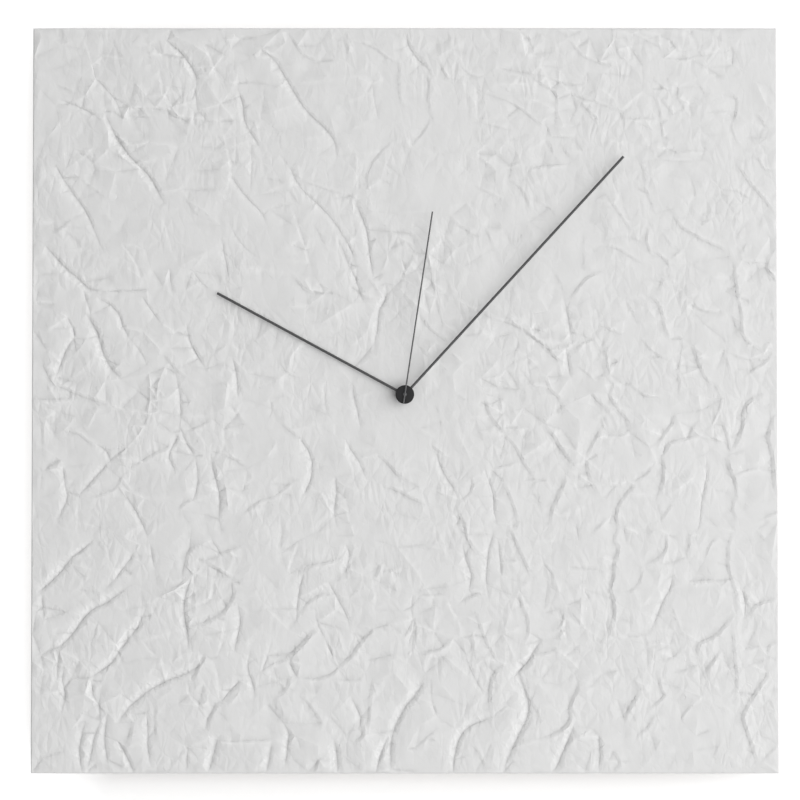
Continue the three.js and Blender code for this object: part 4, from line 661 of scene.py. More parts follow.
        (1, 545, 118, 547, 130, 549, 139), (1, 545, 140, 553, 155, 560, 165),
        (1, 560, 143, 566, 155, 573, 162), (2, 528, 171, 545, 168, 562, 167),
        (1, 480, 123, 495, 127, 510, 131), (1, 701, 162, 704, 150, 706, 138),
        (1, 484, 228, 490, 240, 493, 250), (1, 730, 122, 731, 132, 735, 142, 742, 150),
        (1, 768, 88, 774, 98), (1, 722, 42, 724, 54), (1, 668, 41, 675, 50, 685, 52),
        (1, 538, 203, 548, 209), (1, 660, 232, 668, 245, 676, 250), (1, 652, 80, 664, 90, 676, 88),
        (2, 527, 333, 540, 346, 552, 357, 562, 363), (1, 531, 313, 530, 331), (1, 576, 366, 592, 380),
        (2, 590, 394, 597, 402, 603, 407), (1, 628, 385, 643, 396, 655, 397), (1, 503, 430, 528, 429),
        (1, 531, 493, 533, 484, 546, 482), (1, 570, 478, 574, 490, 580, 499),
        (1, 607, 437, 620, 437, 628, 432), (1, 703, 432, 712, 439, 723, 441),
        (1, 722, 351, 738, 358, 756, 361, 774, 357), (1, 480, 380, 495, 378, 505, 370),
        (1, 640, 340, 648, 350, 660, 358), (1, 603, 340, 604, 355, 608, 365),
        (2, 681, 342, 678, 352, 677, 370, 678, 403),
    ],
    "fall": [
        (2, 160, 72, 165, 95, 172, 108), (2, 205, 45, 213, 65, 219, 80),
        (2, 222, 125, 228, 150, 231, 175, 225, 200), (1, 122, 245, 135, 262, 142, 280),
        (1, 163, 215, 172, 250, 178, 260), (1, 190, 125, 187, 150), (1, 85, 38, 92, 60, 97, 80),
        (1, 265, 85, 262, 110, 258, 130), (1, 75, 150, 95, 165), (2, 356, 155, 358, 180, 357, 200),
        (1, 423, 75, 423, 108), (2, 475, 80, 477, 120), (1, 405, 130, 408, 150),
        (2, 292, 205, 297, 225, 305, 250, 312, 275), (1, 410, 235, 415, 255),
        (2, 79, 500, 78, 520, 79, 535), (2, 224, 430, 224, 445, 221, 455),
        (1, 247, 470, 245, 485, 243, 500), (1, 230, 343, 240, 352), (2, 335, 425, 335, 437),
        (2, 346, 500, 348, 515, 350, 525), (2, 510, 515, 511, 530, 512, 540),
        (2, 225, 620, 222, 640, 218, 655), (3, 214, 580, 210, 598, 196, 607),
        (3, 198, 560, 195, 575, 190, 588), (2, 213, 660, 217, 675, 220, 690),
        (2, 187, 680, 190, 695, 200, 705, 208, 715), (1, 80, 660, 92, 672), (1, 92, 570, 88, 580, 80, 590),
        (1, 142, 640, 150, 650, 160, 658), (2, 107, 530, 108, 555),
        (2, 300, 540, 295, 552, 290, 565, 288, 575), (2, 372, 582, 375, 595, 374, 610),
        (2, 446, 600, 451, 610, 457, 620), (1, 295, 735, 300, 750), (2, 566, 605, 563, 625, 566, 645),
    ],
}

# Where the face's corners lie in the photograph, in its pixels
facePixels = {"top": 29.0, "bottom": 772.0, "leftAtTop": 35.0, "leftAtBottom": 31.5,
              "rightAtTop": 774.5, "rightAtBottom": 777.0}

# Lengths in millimetres. Rows of five go by a traced line's strength, from faint to strongest, and the
# pairs of the facets and of creaseGain run from the face's left to its right
faceValues = {
    "foldHeights": (0.10, 0.17, 0.25, 0.33, 0.42),  # traced folds
    "groovesDeep": (0.25, 0.41, 0.62, 0.84, 1.08), "grooveReaches": (1.3, 1.6, 2.0, 2.4, 3.0),
    "stepHalves": (0.6, 0.7, 0.85, 1.0, 1.2), "stepHeights": (0.12, 0.185, 0.27, 0.38, 0.50),
    "stepReaches": (3.5, 5, 6.5, 8, 9),
    "litSide": 1.25, "darkSide": 0.9,  # a groove's two sides, as shares of its reach
    "levelGain": (0.85, 1.7),  # for upright and for level lines
    "endFade": 0.25,  # share of a line over which its ends die away
    "step": 1.25, "foldStep": 1.7, "cornerStep": 7.0, "grid": 3.0, "clearance": 0.5, "waver": 0.1,
    "facetSize": (9.5, 7.5), "facetHeight": (0.35, 0.23), "facetRoom": 3.8, "facetTries": 9000,
    "sideCorners": 28, "flatHeight": 0.12,
    "creased": 0.58, "creaseDepth": 0.16, "creaseGain": (1.3, 0.9), "creaseLimit": 0.62,
    "creaseReach": 1.6, "patch": 34.0, "patchGain": 0.7,
    "easing": 0.65, "easings": 3, "softness": 0.38, "softenings": 2, "crispSize": 0.3,
    "lift": 0.15, "free": 0.75, "limit": 1.0, "depthLimit": 1.6,  # how far the relief may go
    # gain of the painted crease shade, then the angle past which edges shade sharp
    "paintedShadeGain": 4.0, "sharpAngle": 0.10,
    "roll": 0.7, "borderStep": 2.2, "ripple": 0.25, "lipWidth": 15.0, "lipThickness": 1.0,
    "holeRadius": 4.35, "holeSteps": 40, "holeRoom": 1.3, "onRing": 0.02, "boardGap": 0.3,
}
toMillimetres = 1000.0

skinLow, skinHigh = (np.array(corner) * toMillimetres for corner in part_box("face_skin"))
boardLow, boardHigh = (np.array(corner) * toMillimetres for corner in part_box("dial_board"))
capLow, capHigh = (np.array(corner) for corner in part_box("hub_cap"))
faceHeight = (skinLow[2] + skinHigh[2]) / 2
halfSide = (skinHigh[0] - skinLow[0]) / 2
axisX, axisZ = (capLow[0] + capHigh[0]) / 2, (capLow[2] + capHigh[2]) / 2
holeSpot = np.array([axisX, axisZ]) * toMillimetres - (0, faceHeight)
sheetPlane = skinLow[1] + faceValues["limit"]
sheetBack = boardLow[1] - faceValues["boardGap"]
light = np.array([1.0, -0.03])  # the way to the light, on the face


# Pixels as places on the face, in millimetres from its centre. The side edges are taken at each height
def onFace(pixels):
    spots = np.array(pixels, float).reshape(-1, 2)
    down = (spots[:, 1] - facePixels["top"]) / (facePixels["bottom"] - facePixels["top"])
    left = facePixels["leftAtTop"] + (facePixels["leftAtBottom"] - facePixels["leftAtTop"]) * down
    right = facePixels["rightAtTop"] + (facePixels["rightAtBottom"] - facePixels["rightAtTop"]) * down
    across = (spots[:, 0] - left) / (right - left)
    return np.stack([(2 * across - 1) * halfSide, (1 - 2 * down) * halfSide], 1)


# A smooth line through a few points, cut into even steps
def evenLine(points, step):
    guides = np.concatenate([[2 * points[0] - points[1]], points, [2 * points[-1] - points[-2]]])
    share = np.linspace(0, 1, 9)[:-1, None]
    curve = []
    for before, start, end, after in zip(guides[:-3], guides[1:-2], guides[2:-1], guides[3:]):
        curve.append(start + 0.5 * share * (end - before + share * (2 * before - 5 * start + 4 * end - after
                     + share * (3 * start - before - 3 * end + after))))
    return cutLine(np.concatenate(curve + [points[-1:]]), step)


# A bent line cut into even steps
def cutLine(points, step):
    run = np.concatenate([[0], np.hypot(*np.diff(points, axis=0).T).cumsum()])
    at = np.linspace(0, run[-1], max(2, round(run[-1] / step) + 1))
    return np.stack([np.interp(at, run, points[:, 0]), np.interp(at, run, points[:, 1])], 1)


# The directions square to a line's stretches or points, on the side that the light comes from
def lightSide(line, ofPoints):
    run = np.gradient(line, axis=0) if ofPoints else np.diff(line, axis=0)
    square = np.stack([run[:, 1], -run[:, 0]], 1) / np.maximum(np.hypot(run[:, 0], run[:, 1]), 1e-9)[:, None]
    chord = line[-1] - line[0]
    return square if chord[1] * light[0] - chord[0] * light[1] > 0 else -square


# How much deeper a line is the more level it runs, since light from the side shows level lines least
def levelGain(line):
    run = np.abs(np.diff(line, axis=0)).sum(0)
    return np.interp(run[0] / run.sum(), (0, 1), faceValues["levelGain"])


# The traced lines as grooves and ridges on top of the folds, and as folds of their own
def tracedLines():
    grooves, folds = [], []
    for kind, rows in creasePixels.items():
        for row in rows:
            level = row[0] - 1
            line = evenLine(onFace(row[1:]), faceValues["step"])
            square = lightSide(line, True)
            line = line + square * rng.normal(0, faceValues["waver"], len(line))[:, None]
            if kind in ("valley", "ridge"):
                sign = -1 if kind == "valley" else 1
                folds.append((line, sign * faceValues["foldHeights"][level] * rng.uniform(0.7, 1.2)))
                depth, reach, half = faceValues["groovesDeep"], faceValues["grooveReaches"], (0,) * 5
            else:
                sign = 1 if kind == "rise" else -1
                folds.append((line, rng.normal(0, faceValues["flatHeight"])))
                depth, reach, half = (faceValues[key] for key in ("stepHeights", "stepReaches", "stepHalves"))
            grooves.append({"line": line, "sign": sign, "depth": depth[level] * levelGain(line),
                            "reach": reach[level], "half": half[level]})
    return grooves, folds


# Random spots at least a distance apart that shrinks to the right, and clear of the taken ones
def scatteredSpots(taken):
    inner = halfSide - faceValues["roll"]
    kept = taken.copy()
    fresh = []
    for spot in rng.uniform(-inner + 2, inner - 2, (faceValues["facetTries"], 2)):
        room = np.interp(spot[0], (-halfSide, halfSide), faceValues["facetSize"])
        distance = np.hypot(*(kept - spot).T)
        clear = distance[:len(taken)].min() > faceValues["facetRoom"]
        if clear and distance[len(taken):].min(initial=99) > room:
            kept = np.concatenate([kept, [spot]])
            fresh.append(spot)
    return np.array(fresh)


# Ends every so often along a fold, with a height that fades towards its ends
def foldCorners(line, height):
    corners = cutLine(line, faceValues["cornerStep"])
    along = np.linspace(0, 1, len(corners))
    fade = 0.25 + 0.75 * np.clip(np.minimum(along, 1 - along) / faceValues["endFade"], 0, 1)
    return corners, height * fade * rng.uniform(0.75, 1.25, len(corners))


# The folded sheet as flat triangles between corners of known height. Folds stay edges of the triangles
def foldedSheet(folds):
    inner = halfSide - faceValues["roll"]
    corners, heights, edges, count = [], [], [], 0
    for line, height in folds:
        places, rises = foldCorners(np.clip(line, -inner, inner), height)
        numbers = np.arange(count, count + len(places))
        edges += np.stack([numbers[:-1], numbers[1:]], 1).tolist()
        corners.append(places)
        heights.append(rises)
        count += len(places)
    fresh = scatteredSpots(np.concatenate(corners))
    corners.append(fresh)
    facetHeight = np.interp(fresh[:, 0], (-halfSide, halfSide), faceValues["facetHeight"])
    heights.append(rng.normal(0, 1, len(fresh)) * facetHeight)
    side = np.linspace(-inner, inner, faceValues["sideCorners"])[:-1]
    edge = np.full(len(side), inner)
    for pair in ((side, -edge), (edge, side), (-side, edge), (-edge, -side)):
        corners.append(np.stack(pair, 1))
        heights.append(rng.normal(0, faceValues["flatHeight"], len(side)))
    corners, heights = np.concatenate(corners), np.concatenate(heights)
    found = delaunay_2d_cdt([Vector(spot) for spot in corners.tolist()], edges, [], 0, 0.01, True)
    places = np.array([tuple(spot) for spot in found[0]])
    rises = np.array([heights[origin].mean() if len(origin) else
                      heights[np.argmin(np.hypot(*(corners - place).T))]
                      for place, origin in zip(places, found[3])])
    return places, rises, np.array(found[1]), np.array(found[2])


# The folded sheet's height at many spots: each triangle covers the spots inside it with its own plane
def foldHeightAt(spots, places, rises, triangles):
    height = np.zeros(len(spots))
    order = np.argsort(spots[:, 0])
    sortedX = spots[order, 0]
    for triangle in triangles:
        a, b, c = places[triangle]
        size = (b[0] - a[0]) * (c[1] - a[1]) - (c[0] - a[0]) * (b[1] - a[1])
        if abs(size) < 1e-6:
            continue
        low, high = places[triangle].min(0) - 0.01, places[triangle].max(0) + 0.01
        near = order[np.searchsorted(sortedX, low[0]):np.searchsorted(sortedX, high[0])]
        near = near[(spots[near, 1] > low[1]) & (spots[near, 1] < high[1])]
        gap = spots[near] - a
        shareB = (gap[:, 0] * (c[1] - a[1]) - (c[0] - a[0]) * gap[:, 1]) / size
        shareC = ((b[0] - a[0]) * gap[:, 1] - gap[:, 0] * (b[1] - a[1])) / size
        inside = (shareB > -0.003) & (shareC > -0.003) & (shareB + shareC < 1.003)
        first, second, third = rises[triangle]
        value = first + (second - first) * shareB + (third - first) * shareC
        height[near[inside]] = value[inside]
    return height


# The nearest point of a line for many spots: its distance, the side and how far along it lies
def nearestOnLine(line, spots):
    best = np.full(len(spots), np.inf)
    side, along = np.zeros(len(spots)), np.zeros(len(spots))
    squares = lightSide(line, False)
    for i, (start, run) in enumerate(zip(line[:-1], np.diff(line, axis=0))):
        share = np.clip((spots - start) @ run / max(run @ run, 1e-12), 0, 1)
        gap = spots - start - share[:, None] * run
        distance = np.hypot(gap[:, 0], gap[:, 1])
        closer = distance < best
        best = np.where(closer, distance, best)
        side = np.where(closer, gap @ squares[i], side)
        along = np.where(closer, (i + share) / len(squares), along)
    return best, np.sign(side), along


# Height of a groove or ridge: sign * depth * (1 - distance / reach) squared, steeper on its dark side.
# A step is a narrow ramp instead, as wide as twice its half, that dies away on both sides
def grooveHeight(groove, spots):
    distance, side, along = nearestOnLine(groove["line"], spots)
    fade = 0.2 + 0.8 * np.clip(np.minimum(along, 1 - along) / faceValues["endFade"], 0, 1)
    if groove["half"]:
        beyond = np.clip(1 - (distance - groove["half"]) / groove["reach"], 0, 1)
        ramp = np.clip(distance / groove["half"], 0, 1) * np.minimum(beyond, 1) ** 2
        return groove["sign"] * side * groove["depth"] * ramp * fade
    litOrDark = np.where(side * groove["sign"] > 0, faceValues["litSide"], faceValues["darkSide"])
    reach = groove["reach"] * litOrDark
    return groove["sign"] * groove["depth"] * np.clip(1 - distance / reach, 0, 1) ** 2 * fade


# Heights evened out between neighbours by a share, several times. Spots on the given lines stay crisp
def easedHeight(height, spots, triangles, lines, share, times):
    size = faceValues["crispSize"]
    crisp = np.zeros((int(2 * halfSide / size) + 2,) * 2, bool)
    inner = halfSide - faceValues["roll"]
    for line in lines:
        crisp[tuple(((np.clip(line, -inner, inner) + halfSide) / size).astype(int).T)] = True
    onLine = crisp[tuple(((spots + halfSide) / size).astype(int).T)]
    pairs = np.concatenate([triangles[:, [0, 1]], triangles[:, [1, 2]], triangles[:, [2, 0]]])
    count = np.bincount(pairs[:, 0], minlength=len(spots)) + np.bincount(pairs[:, 1], minlength=len(spots))
    for turn in range(times):
        total = np.bincount(pairs[:, 0], height[pairs[:, 1]], len(spots))
        total += np.bincount(pairs[:, 1], height[pairs[:, 0]], len(spots))
        height = np.where(onLine, height, (1 - share) * height + share * total / np.maximum(count, 1))
    return height


# How sharply the sheet dips at each spot: its neighbours' mean height over its own, by their distance
def foldDepth(height, spots, triangles):
    pairs = np.concatenate([triangles[:, [0, 1]], triangles[:, [1, 2]], triangles[:, [2, 0]]])
    pairs = np.concatenate([pairs, pairs[:, ::-1]])
    count = np.maximum(np.bincount(pairs[:, 0], minlength=len(spots)), 1)
    over = np.bincount(pairs[:, 0], height[pairs[:, 1]] - height[pairs[:, 0]], len(spots)) / count
    run = np.hypot(*(spots[pairs[:, 1]] - spots[pairs[:, 0]]).T)
    far = np.bincount(pairs[:, 0], run, len(spots)) / count
    return over / np.maximum(far, 0.2)


# All points of the sheet's front and the lines that its triangles must follow
def sheetPoints(grooves, foldLines):
    inner = halfSide - faceValues["roll"]
    size = faceValues["clearance"]
    taken = np.zeros((int(2 * halfSide / size) + 2,) * 2, bool)
    points, edges, count = [], [], 0

    def cellsOf(spots):
        return tuple(((spots + halfSide) / size).astype(int).T)

    turn = np.arange(faceValues["holeSteps"]) * 2 * math.pi / faceValues["holeSteps"]
    hole = holeSpot + faceValues["holeRadius"] * np.stack([np.cos(turn), np.sin(turn)], 1)
    steps = round(2 * inner / faceValues["borderStep"])
    side = np.linspace(-inner, inner, steps + 1)[:-1]
    edge = np.full(steps, inner)
    border = np.concatenate([np.stack(pair, 1) for pair in
                             ((side, -edge), (edge, side), (-side, edge), (-edge, -side))])
    for loop in (hole, border):
        numbers = np.arange(count, count + len(loop))
        points.append(loop)
        edges += np.stack([numbers, np.roll(numbers, -1)], 1).tolist()
        count += len(loop)
    bends = []
    for groove in grooves:
        aside = lightSide(groove["line"], True) * groove["half"]
        bends += [groove["line"] + aside, groove["line"] - aside] if groove["half"] else [groove["line"]]
    for line in bends + foldLines:
        line = np.clip(line, -inner, inner)
        keep = np.hypot(*(line - holeSpot).T) > faceValues["holeRadius"] + faceValues["holeRoom"]
        numbers = np.arange(count, count + len(line))
        edges += np.stack([numbers[:-1], numbers[1:]], 1)[keep[:-1] & keep[1:]].tolist()
        line = np.where(keep[:, None], line, hole[0])
        points.append(line)
        count += len(line)
        taken[cellsOf(line)] = True
    besides = []
    for groove in grooves:
        square = lightSide(groove["line"], True)
        for part in () if groove["half"] else (0.35, 1.0):
            lit, dark = groove["sign"] * faceValues["litSide"], groove["sign"] * faceValues["darkSide"]
            besides += [groove["line"] + square * groove["reach"] * part * lit,
                        groove["line"] - square * groove["reach"] * part * dark]
    spacing = faceValues["grid"]
    lattice = np.arange(-inner + spacing * 0.6, inner - spacing * 0.4, spacing)
    ground = np.stack(np.meshgrid(lattice, lattice), 2).reshape(-1, 2)
    ground += rng.uniform(-0.3, 0.3, ground.shape) * spacing
    for spots in besides + [ground]:
        clear = np.hypot(*(spots - holeSpot).T) > faceValues["holeRadius"] + faceValues["holeRoom"] * 0.7
        spots = spots[clear & (np.abs(spots) < inner - 0.6).all(1)]
        spots = spots[~taken[cellsOf(spots)]]
        points.append(spots)
        taken[cellsOf(spots)] = True
    return np.concatenate(points), edges


# Depth of a random crease: deeper in some patches of the sheet than in others
def creaseDepth(spot):
    a, b = spot / faceValues["patch"]
    wave = math.sin(a + 1.7 * math.sin(b * 0.9)) + math.sin(1.3 * b - 1.4 * math.sin(a * 0.8 + 2.0))
    gain = np.interp(spot[0], (-halfSide, halfSide), faceValues["creaseGain"])
    return faceValues["creaseDepth"] * gain * math.exp(faceValues["patchGain"] * (wave / 2 - 0.2))


# Random small grooves and ridges along the edges of the folded sheet's triangles
def smallCreases(places, foldEdges):
    creases = []
    lengths = np.hypot(*(places[foldEdges[:, 0]] - places[foldEdges[:, 1]]).T)
    for pair in foldEdges[(rng.uniform(0, 1, len(foldEdges)) < faceValues["creased"]) & (lengths > 3)]:
        line = cutLine(places[pair], faceValues["foldStep"])
        sign = rng.choice([-1, 1])
        depth = creaseDepth(places[pair].mean(0)) * rng.gamma(1.1, 0.9) * levelGain(places[pair])
        creases.append({"line": line, "sign": sign, "depth": min(faceValues["creaseLimit"], depth),
                        "reach": faceValues["creaseReach"], "half": 0})
    return creases


# The front's relief at its spots: the folds, then each groove over the spots near it, softened, and past
# a free height held back by a tanh
def sheetRelief(spots, triangles, foldHeight, grooves, folds):
    crispLines = [groove["line"] for groove in grooves] + [line for line, rise in folds]
    height = foldHeight + faceValues["lift"]
    height = easedHeight(height, spots, triangles, crispLines, faceValues["easing"], faceValues["easings"])
    order = np.argsort(spots[:, 0])
    sortedX = spots[order, 0]
    for groove in grooves:
        reach = groove["reach"] * faceValues["litSide"]
        low, high = groove["line"].min(0) - reach, groove["line"].max(0) + reach
        near = order[np.searchsorted(sortedX, low[0]):np.searchsorted(sortedX, high[0])]
        near = near[(spots[near, 1] > low[1]) & (spots[near, 1] < high[1])]
        height[near] += grooveHeight(groove, spots[near])
    height = easedHeight(height, spots, triangles, [], faceValues["softness"], faceValues["softenings"])
    free = faceValues["free"]
    spare = np.where(height > 0, faceValues["limit"], faceValues["depthLimit"]) - free
    over = np.maximum(np.abs(height) - free, 0)
    return np.sign(height) * (np.minimum(np.abs(height), free) + spare * np.tanh(over / spare))


# How far out and how far back each ring behind the front lies: over the rolled edge, down the side,
# across the turned-in lip and back along the inner side
def edgeSteps():
    roll, lip, thick = faceValues["roll"], faceValues["lipWidth"], faceValues["lipThickness"]
    deep = skinHigh[1] - sheetPlane
    steps = [(roll * math.sin(t), roll * (1 - math.cos(t))) for t in np.linspace(0, math.pi / 2, 5)[1:]]
    steps += [(roll, deep * 0.35), (roll, deep * 0.62)]
    steps += [(roll * math.cos(t), deep - roll * (1 - math.sin(t))) for t in np.linspace(0, math.pi / 2, 4)]
    steps += [(-lip * share, deep) for share in (0.3, 0.65, 0.95)]
    steps += [(-lip, deep - 0.4), (-lip, deep - thick), (roll - thick, deep - thick)]
    return steps + [(roll - thick, sheetBack - sheetPlane)]


# The sheet's points and faces: its front, the rings behind its edge, the wall of the round hole, and the
# flat back in four faces
def closedSheet(spots, triangles, relief):
    inner, deep = halfSide - faceValues["roll"], skinHigh[1] - sheetPlane
    onBorder = np.flatnonzero((np.abs(spots) > inner - 0.001).any(1))
    fromRing = np.abs(np.hypot(*(spots - holeSpot).T) - faceValues["holeRadius"])
    onHole = np.flatnonzero(fromRing < faceValues["onRing"])
    border, hole = (ring[np.argsort(np.arctan2(*(spots[ring] - holeSpot).T[::-1]))]
                    for ring in (onBorder, onHole))
    edgeSpots = spots[border]
    out = np.where(np.abs(edgeSpots) > inner - 0.001, np.sign(edgeSpots), 0)
    relief[border] *= 0.6
    along = np.arange(len(border))
    ripple = np.abs(np.sin(along * 0.31) * np.sin(along * 0.127 + 1.3)) * faceValues["ripple"]
    rings, start = [border], len(spots)
    points = [np.stack([spots[:, 0], sheetPlane - relief, spots[:, 1]], 1)]
    for i, (outward, back) in enumerate(edgeSteps()):
        dies = max(0.0, 1 - (i + 1) / 4)
        spread = edgeSpots * ((inner + outward) / inner)
        if 3 < back < deep - 2 and outward > 0:
            spread = spread - out * ripple[:, None]
        points.append(np.stack([spread[:, 0], sheetPlane + back - relief[border] * dies, spread[:, 1]], 1))
        rings.append(np.arange(start, start + len(border)))
        start += len(border)
    points.append(np.stack([spots[hole, 0], np.full(len(hole), sheetBack), spots[hole, 1]], 1))
    holeBack = np.arange(start, start + len(hole))
    faces = triangles.tolist() + ringQuads(rings) + ringQuads([holeBack, hole])
    for corner in range(4):
        turns = (corner * 0.5 - 0.75) * math.pi, (corner * 0.5 - 0.25) * math.pi
        parts = []
        for ring, order in ((rings[-1], border), (holeBack, hole)):
            angle = np.arctan2(*(spots[order] - holeSpot).T[::-1])
            first, last = (int(np.argmin(np.abs((angle - turn + math.pi) % (2 * math.pi) - math.pi)))
                           for turn in turns)
            span = range(first, last + 1 + (len(ring) if last < first else 0))
            parts.append(np.take(ring, span, mode="wrap").tolist())
        faces.append(parts[0] + parts[1][::-1])
    return np.concatenate(points), faces


# The crumpled sheet from its traced and random lines, with a point attribute for painted shade: 0 on crests
# and 1 in valleys
def crumpledFace(material):
    traced, folds = tracedLines()
    places, rises, foldEdges, foldTriangles = foldedSheet(folds)
    tracedSpots = np.concatenate([line for line, rise in folds])[::2]
    middles = places[foldEdges].mean(1)
    apart = np.array([np.hypot(*(tracedSpots - middle).T).min() for middle in middles])
    inside = (np.abs(middles) < halfSide - faceValues["roll"] - 0.5).all(1)
    foldLines = [cutLine(places[pair], faceValues["foldStep"]) for pair in foldEdges[(apart > 1.0) & inside]]
    grooves = traced + smallCreases(places, foldEdges)
    flat, edges = sheetPoints(traced, foldLines)
    found = delaunay_2d_cdt([Vector(spot) for spot in flat.tolist()], edges, [], 0, 0.01, False)
    spots = np.array([tuple(spot) for spot in found[0]])
    triangles = np.array(found[2])
    onRing = np.hypot(*(spots - holeSpot).T) < faceValues["holeRadius"] + faceValues["onRing"]
    triangles = triangles[~onRing[triangles].all(1)]
    print("sheet:", len(foldTriangles), "facets,", len(grooves), "grooves,", len(triangles), "triangles")

    foldHeight = foldHeightAt(spots, places, rises, foldTriangles)
    relief = sheetRelief(spots, triangles, foldHeight, grooves, folds)
    dip = foldDepth(relief, spots, triangles)
    points, faces = closedSheet(spots, triangles, relief)
    placed = (points + (0, 0, faceHeight)) / toMillimetres
    sheet = meshObject("crumpled_face", placed, faces, material, faceValues["sharpAngle"])
    # Painted shade: how deep the front dips at each point sets how much the paper's colour is darkened there,
    # crests paler and valleys darker
    paintedShades = np.full(len(placed), 0.5)
    paintedShades[:len(dip)] = np.clip(0.5 + faceValues["paintedShadeGain"] * dip, 0, 1)
    sheet.data.attributes.new("foldTone", "FLOAT", "POINT").data.foreach_set("value", paintedShades)
    return sheet


paper = paperFinish()
crumpledPaper = standsFor(crumpledFace(paper), "clock_body", "paper", "face_skin")
print("face:", len(crumpledPaper.data.polygons), "faces")


# Hands and cap, at the depths and lengths of their CAD nodes
handValues = {"rodRadius": 0.0007, "secondRadius": 0.0004, "colletEdge": 0.0002, "capEdge": 0.0004,
              "hourTurn": math.radians(-61.53), "minuteTurn": math.radians(42.54),
              "secondTurn": math.radians(8.6),
              "hourLength": 0.1144, "minuteLength": 0.1734, "secondLength": 0.0989, "secondTail": 0.005,
              "hourBore": 0.00295, "minuteBore": 0.00175, "collar": 0.0015, "rodStart": 0.0009,
              "bossBore": 0.0006, "bossRadius": 0.001, "bossEdge": 0.0001, "centre": 0.0001,
              "collarSteps": 56, "capSteps": 96, "bossSteps": 40, "secondSteps": 24,
              "color": (0.030, 0.030, 0.031), "secondColor": (0.052, 0.052, 0.054),
              "capColor": (0.008, 0.008, 0.0085)}


# A ring with rounded edges between two radii and two depths
def collarProfile(bore, radius, front, back, edge):
    outside = quarter(radius, front, edge, "out") + quarter(radius, back, edge, "back")
    return [(bore, front)] + outside + [(bore, back)]


# A hand: a round rod from a collar that sits on its pipe
def rodHand(name, node, body, bore, length, turn, material):
    low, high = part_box(node)
    depth = (low[1] + high[1]) / 2
    profile = collarProfile(bore, bore + handValues["collar"], low[1], high[1], handValues["colletEdge"])
    collar = turnedSolid(profile, handValues["collarSteps"], axisX, axisZ, looped=True)
    rod = rodSolid(handValues["rodRadius"], bore + handValues["rodStart"], length, depth, turn, axisX, axisZ)
    points, faces = together([collar, rod])
    return standsFor(meshObject(name, points, faces, material), body, "hand_paint", node)


def handsAndCap():
    paint = paintFinish("handPaint", handValues["color"], 0.42, 0.5)
    thin = paintFinish("secondPaint", handValues["secondColor"], 0.4, 0.5)
    capPaint = paintFinish("capPaint", handValues["capColor"], 0.5, 0.2)
    for name in ("hour", "minute"):
        rodHand(name + "_rod", name + "_hand", name + "_group", handValues[name + "Bore"],
                handValues[name + "Length"], handValues[name + "Turn"], paint)
    radius, centre = (capHigh[0] - capLow[0]) / 2, handValues["centre"]
    edge = handValues["capEdge"]
    profile = [(centre, capLow[1] - 0.00002), (radius * 0.5, capLow[1] + 0.00001)]
    profile += quarter(radius, capLow[1] + 0.00004, edge, "out", 6)
    profile += quarter(radius, capHigh[1], edge * 0.5, "back") + [(centre, capHigh[1])]
    cap = meshObject("axis_cap", *turnedSolid(profile, handValues["capSteps"], axisX, axisZ), capPaint)
    standsFor(cap, "minute_group", "hand_paint", "hub_cap")
    low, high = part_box("second_hand")
    thick = handValues["secondRadius"]
    depth = low[1] + thick
    profile = collarProfile(handValues["bossBore"], handValues["bossRadius"], depth + thick * 0.4, high[1],
                            handValues["bossEdge"])
    boss = turnedSolid(profile, handValues["bossSteps"], axisX, axisZ, looped=True)
    rod = rodSolid(thick, -handValues["secondTail"], handValues["secondLength"], depth,
                   handValues["secondTurn"], axisX, axisZ, handValues["secondSteps"])
    points, faces = together([boss, rod])
    standsFor(meshObject("second_rod", points, faces, thin), "second_group", "hand_paint", "second_hand")


handsAndCap()
print("hands done")


# The frame, the screws and the works behind the face. Lengths in metres
backValues = {"boardEdge": 0.0004, "woodEdge": 0.0011, "plateEdge": 0.0003, "caseEdge": 0.0004,
              "leafEdge": 0.00008, "knobEdge": 0.00022, "padEdge": 0.0007, "partEdge": 0.0003,
              "crystalEdge": 0.00015, "padSteps": 64, "centre": 0.0001}
screwValues = {"threadPitch": 0.0013, "threadDepth": 0.00035, "ringsPerTurn": 6, "steps": 72,
               "headRings": 20, "armLength": 0.6, "armWidth": 0.13, "armSlope": 0.07,
               "recessDepth": 0.0013, "slotDepth": 0.0008, "flatCrown": 0.0001,
               "frame": (0.0036, 0.002, 0.00175), "hanger": (0.0024, 0.0011, 0.0012),
               "movement": (0.0028, 0.0016, 0.0013)}
cellValues = {"dish": 0.00025, "baseEdge": 0.0008, "shoulderEdge": 0.0009, "nubRadius": 0.0028,
              "nubRise": 0.0015, "nubEdge": 0.0003, "groove": 0.0004, "steps": 96}
coilValues = {"wire": 0.00022, "layer": 0.00007, "boreShare": 0.62, "ringsPerTurn": 6, "steps": 40}

pineAcross, pineUp = woodFinish("pineAcross", "x"), woodFinish("pineUp", "z")
fibreboard = boardFinish()
zinc = metalFinish("zincPlate", (0.60, 0.61, 0.63), 0.40)
steel = metalFinish("brightSteel", (0.56, 0.56, 0.57), 0.30, (1, 1, 4))
brass = metalFinish("turnedBrass", (0.60, 0.40, 0.13), 0.30)
rubber = plasticFinish("padRubber", (0.024, 0.024, 0.024), 0.85, 0.00004, 1300)
blackMould = plasticFinish("blackMould", (0.017, 0.017, 0.018), 0.46)
whiteMould = plasticFinish("whiteMould", (0.76, 0.76, 0.73), 0.34, 0.000006)
sintered = plasticFinish("sinteredMagnet", (0.07, 0.07, 0.08), 0.55, 0.00001, 3000)


# A CAD node that keeps its own shape and gets a finish
def dressed(node, material):
    for slot in nodes[node].material_slots:
        slot.material = material


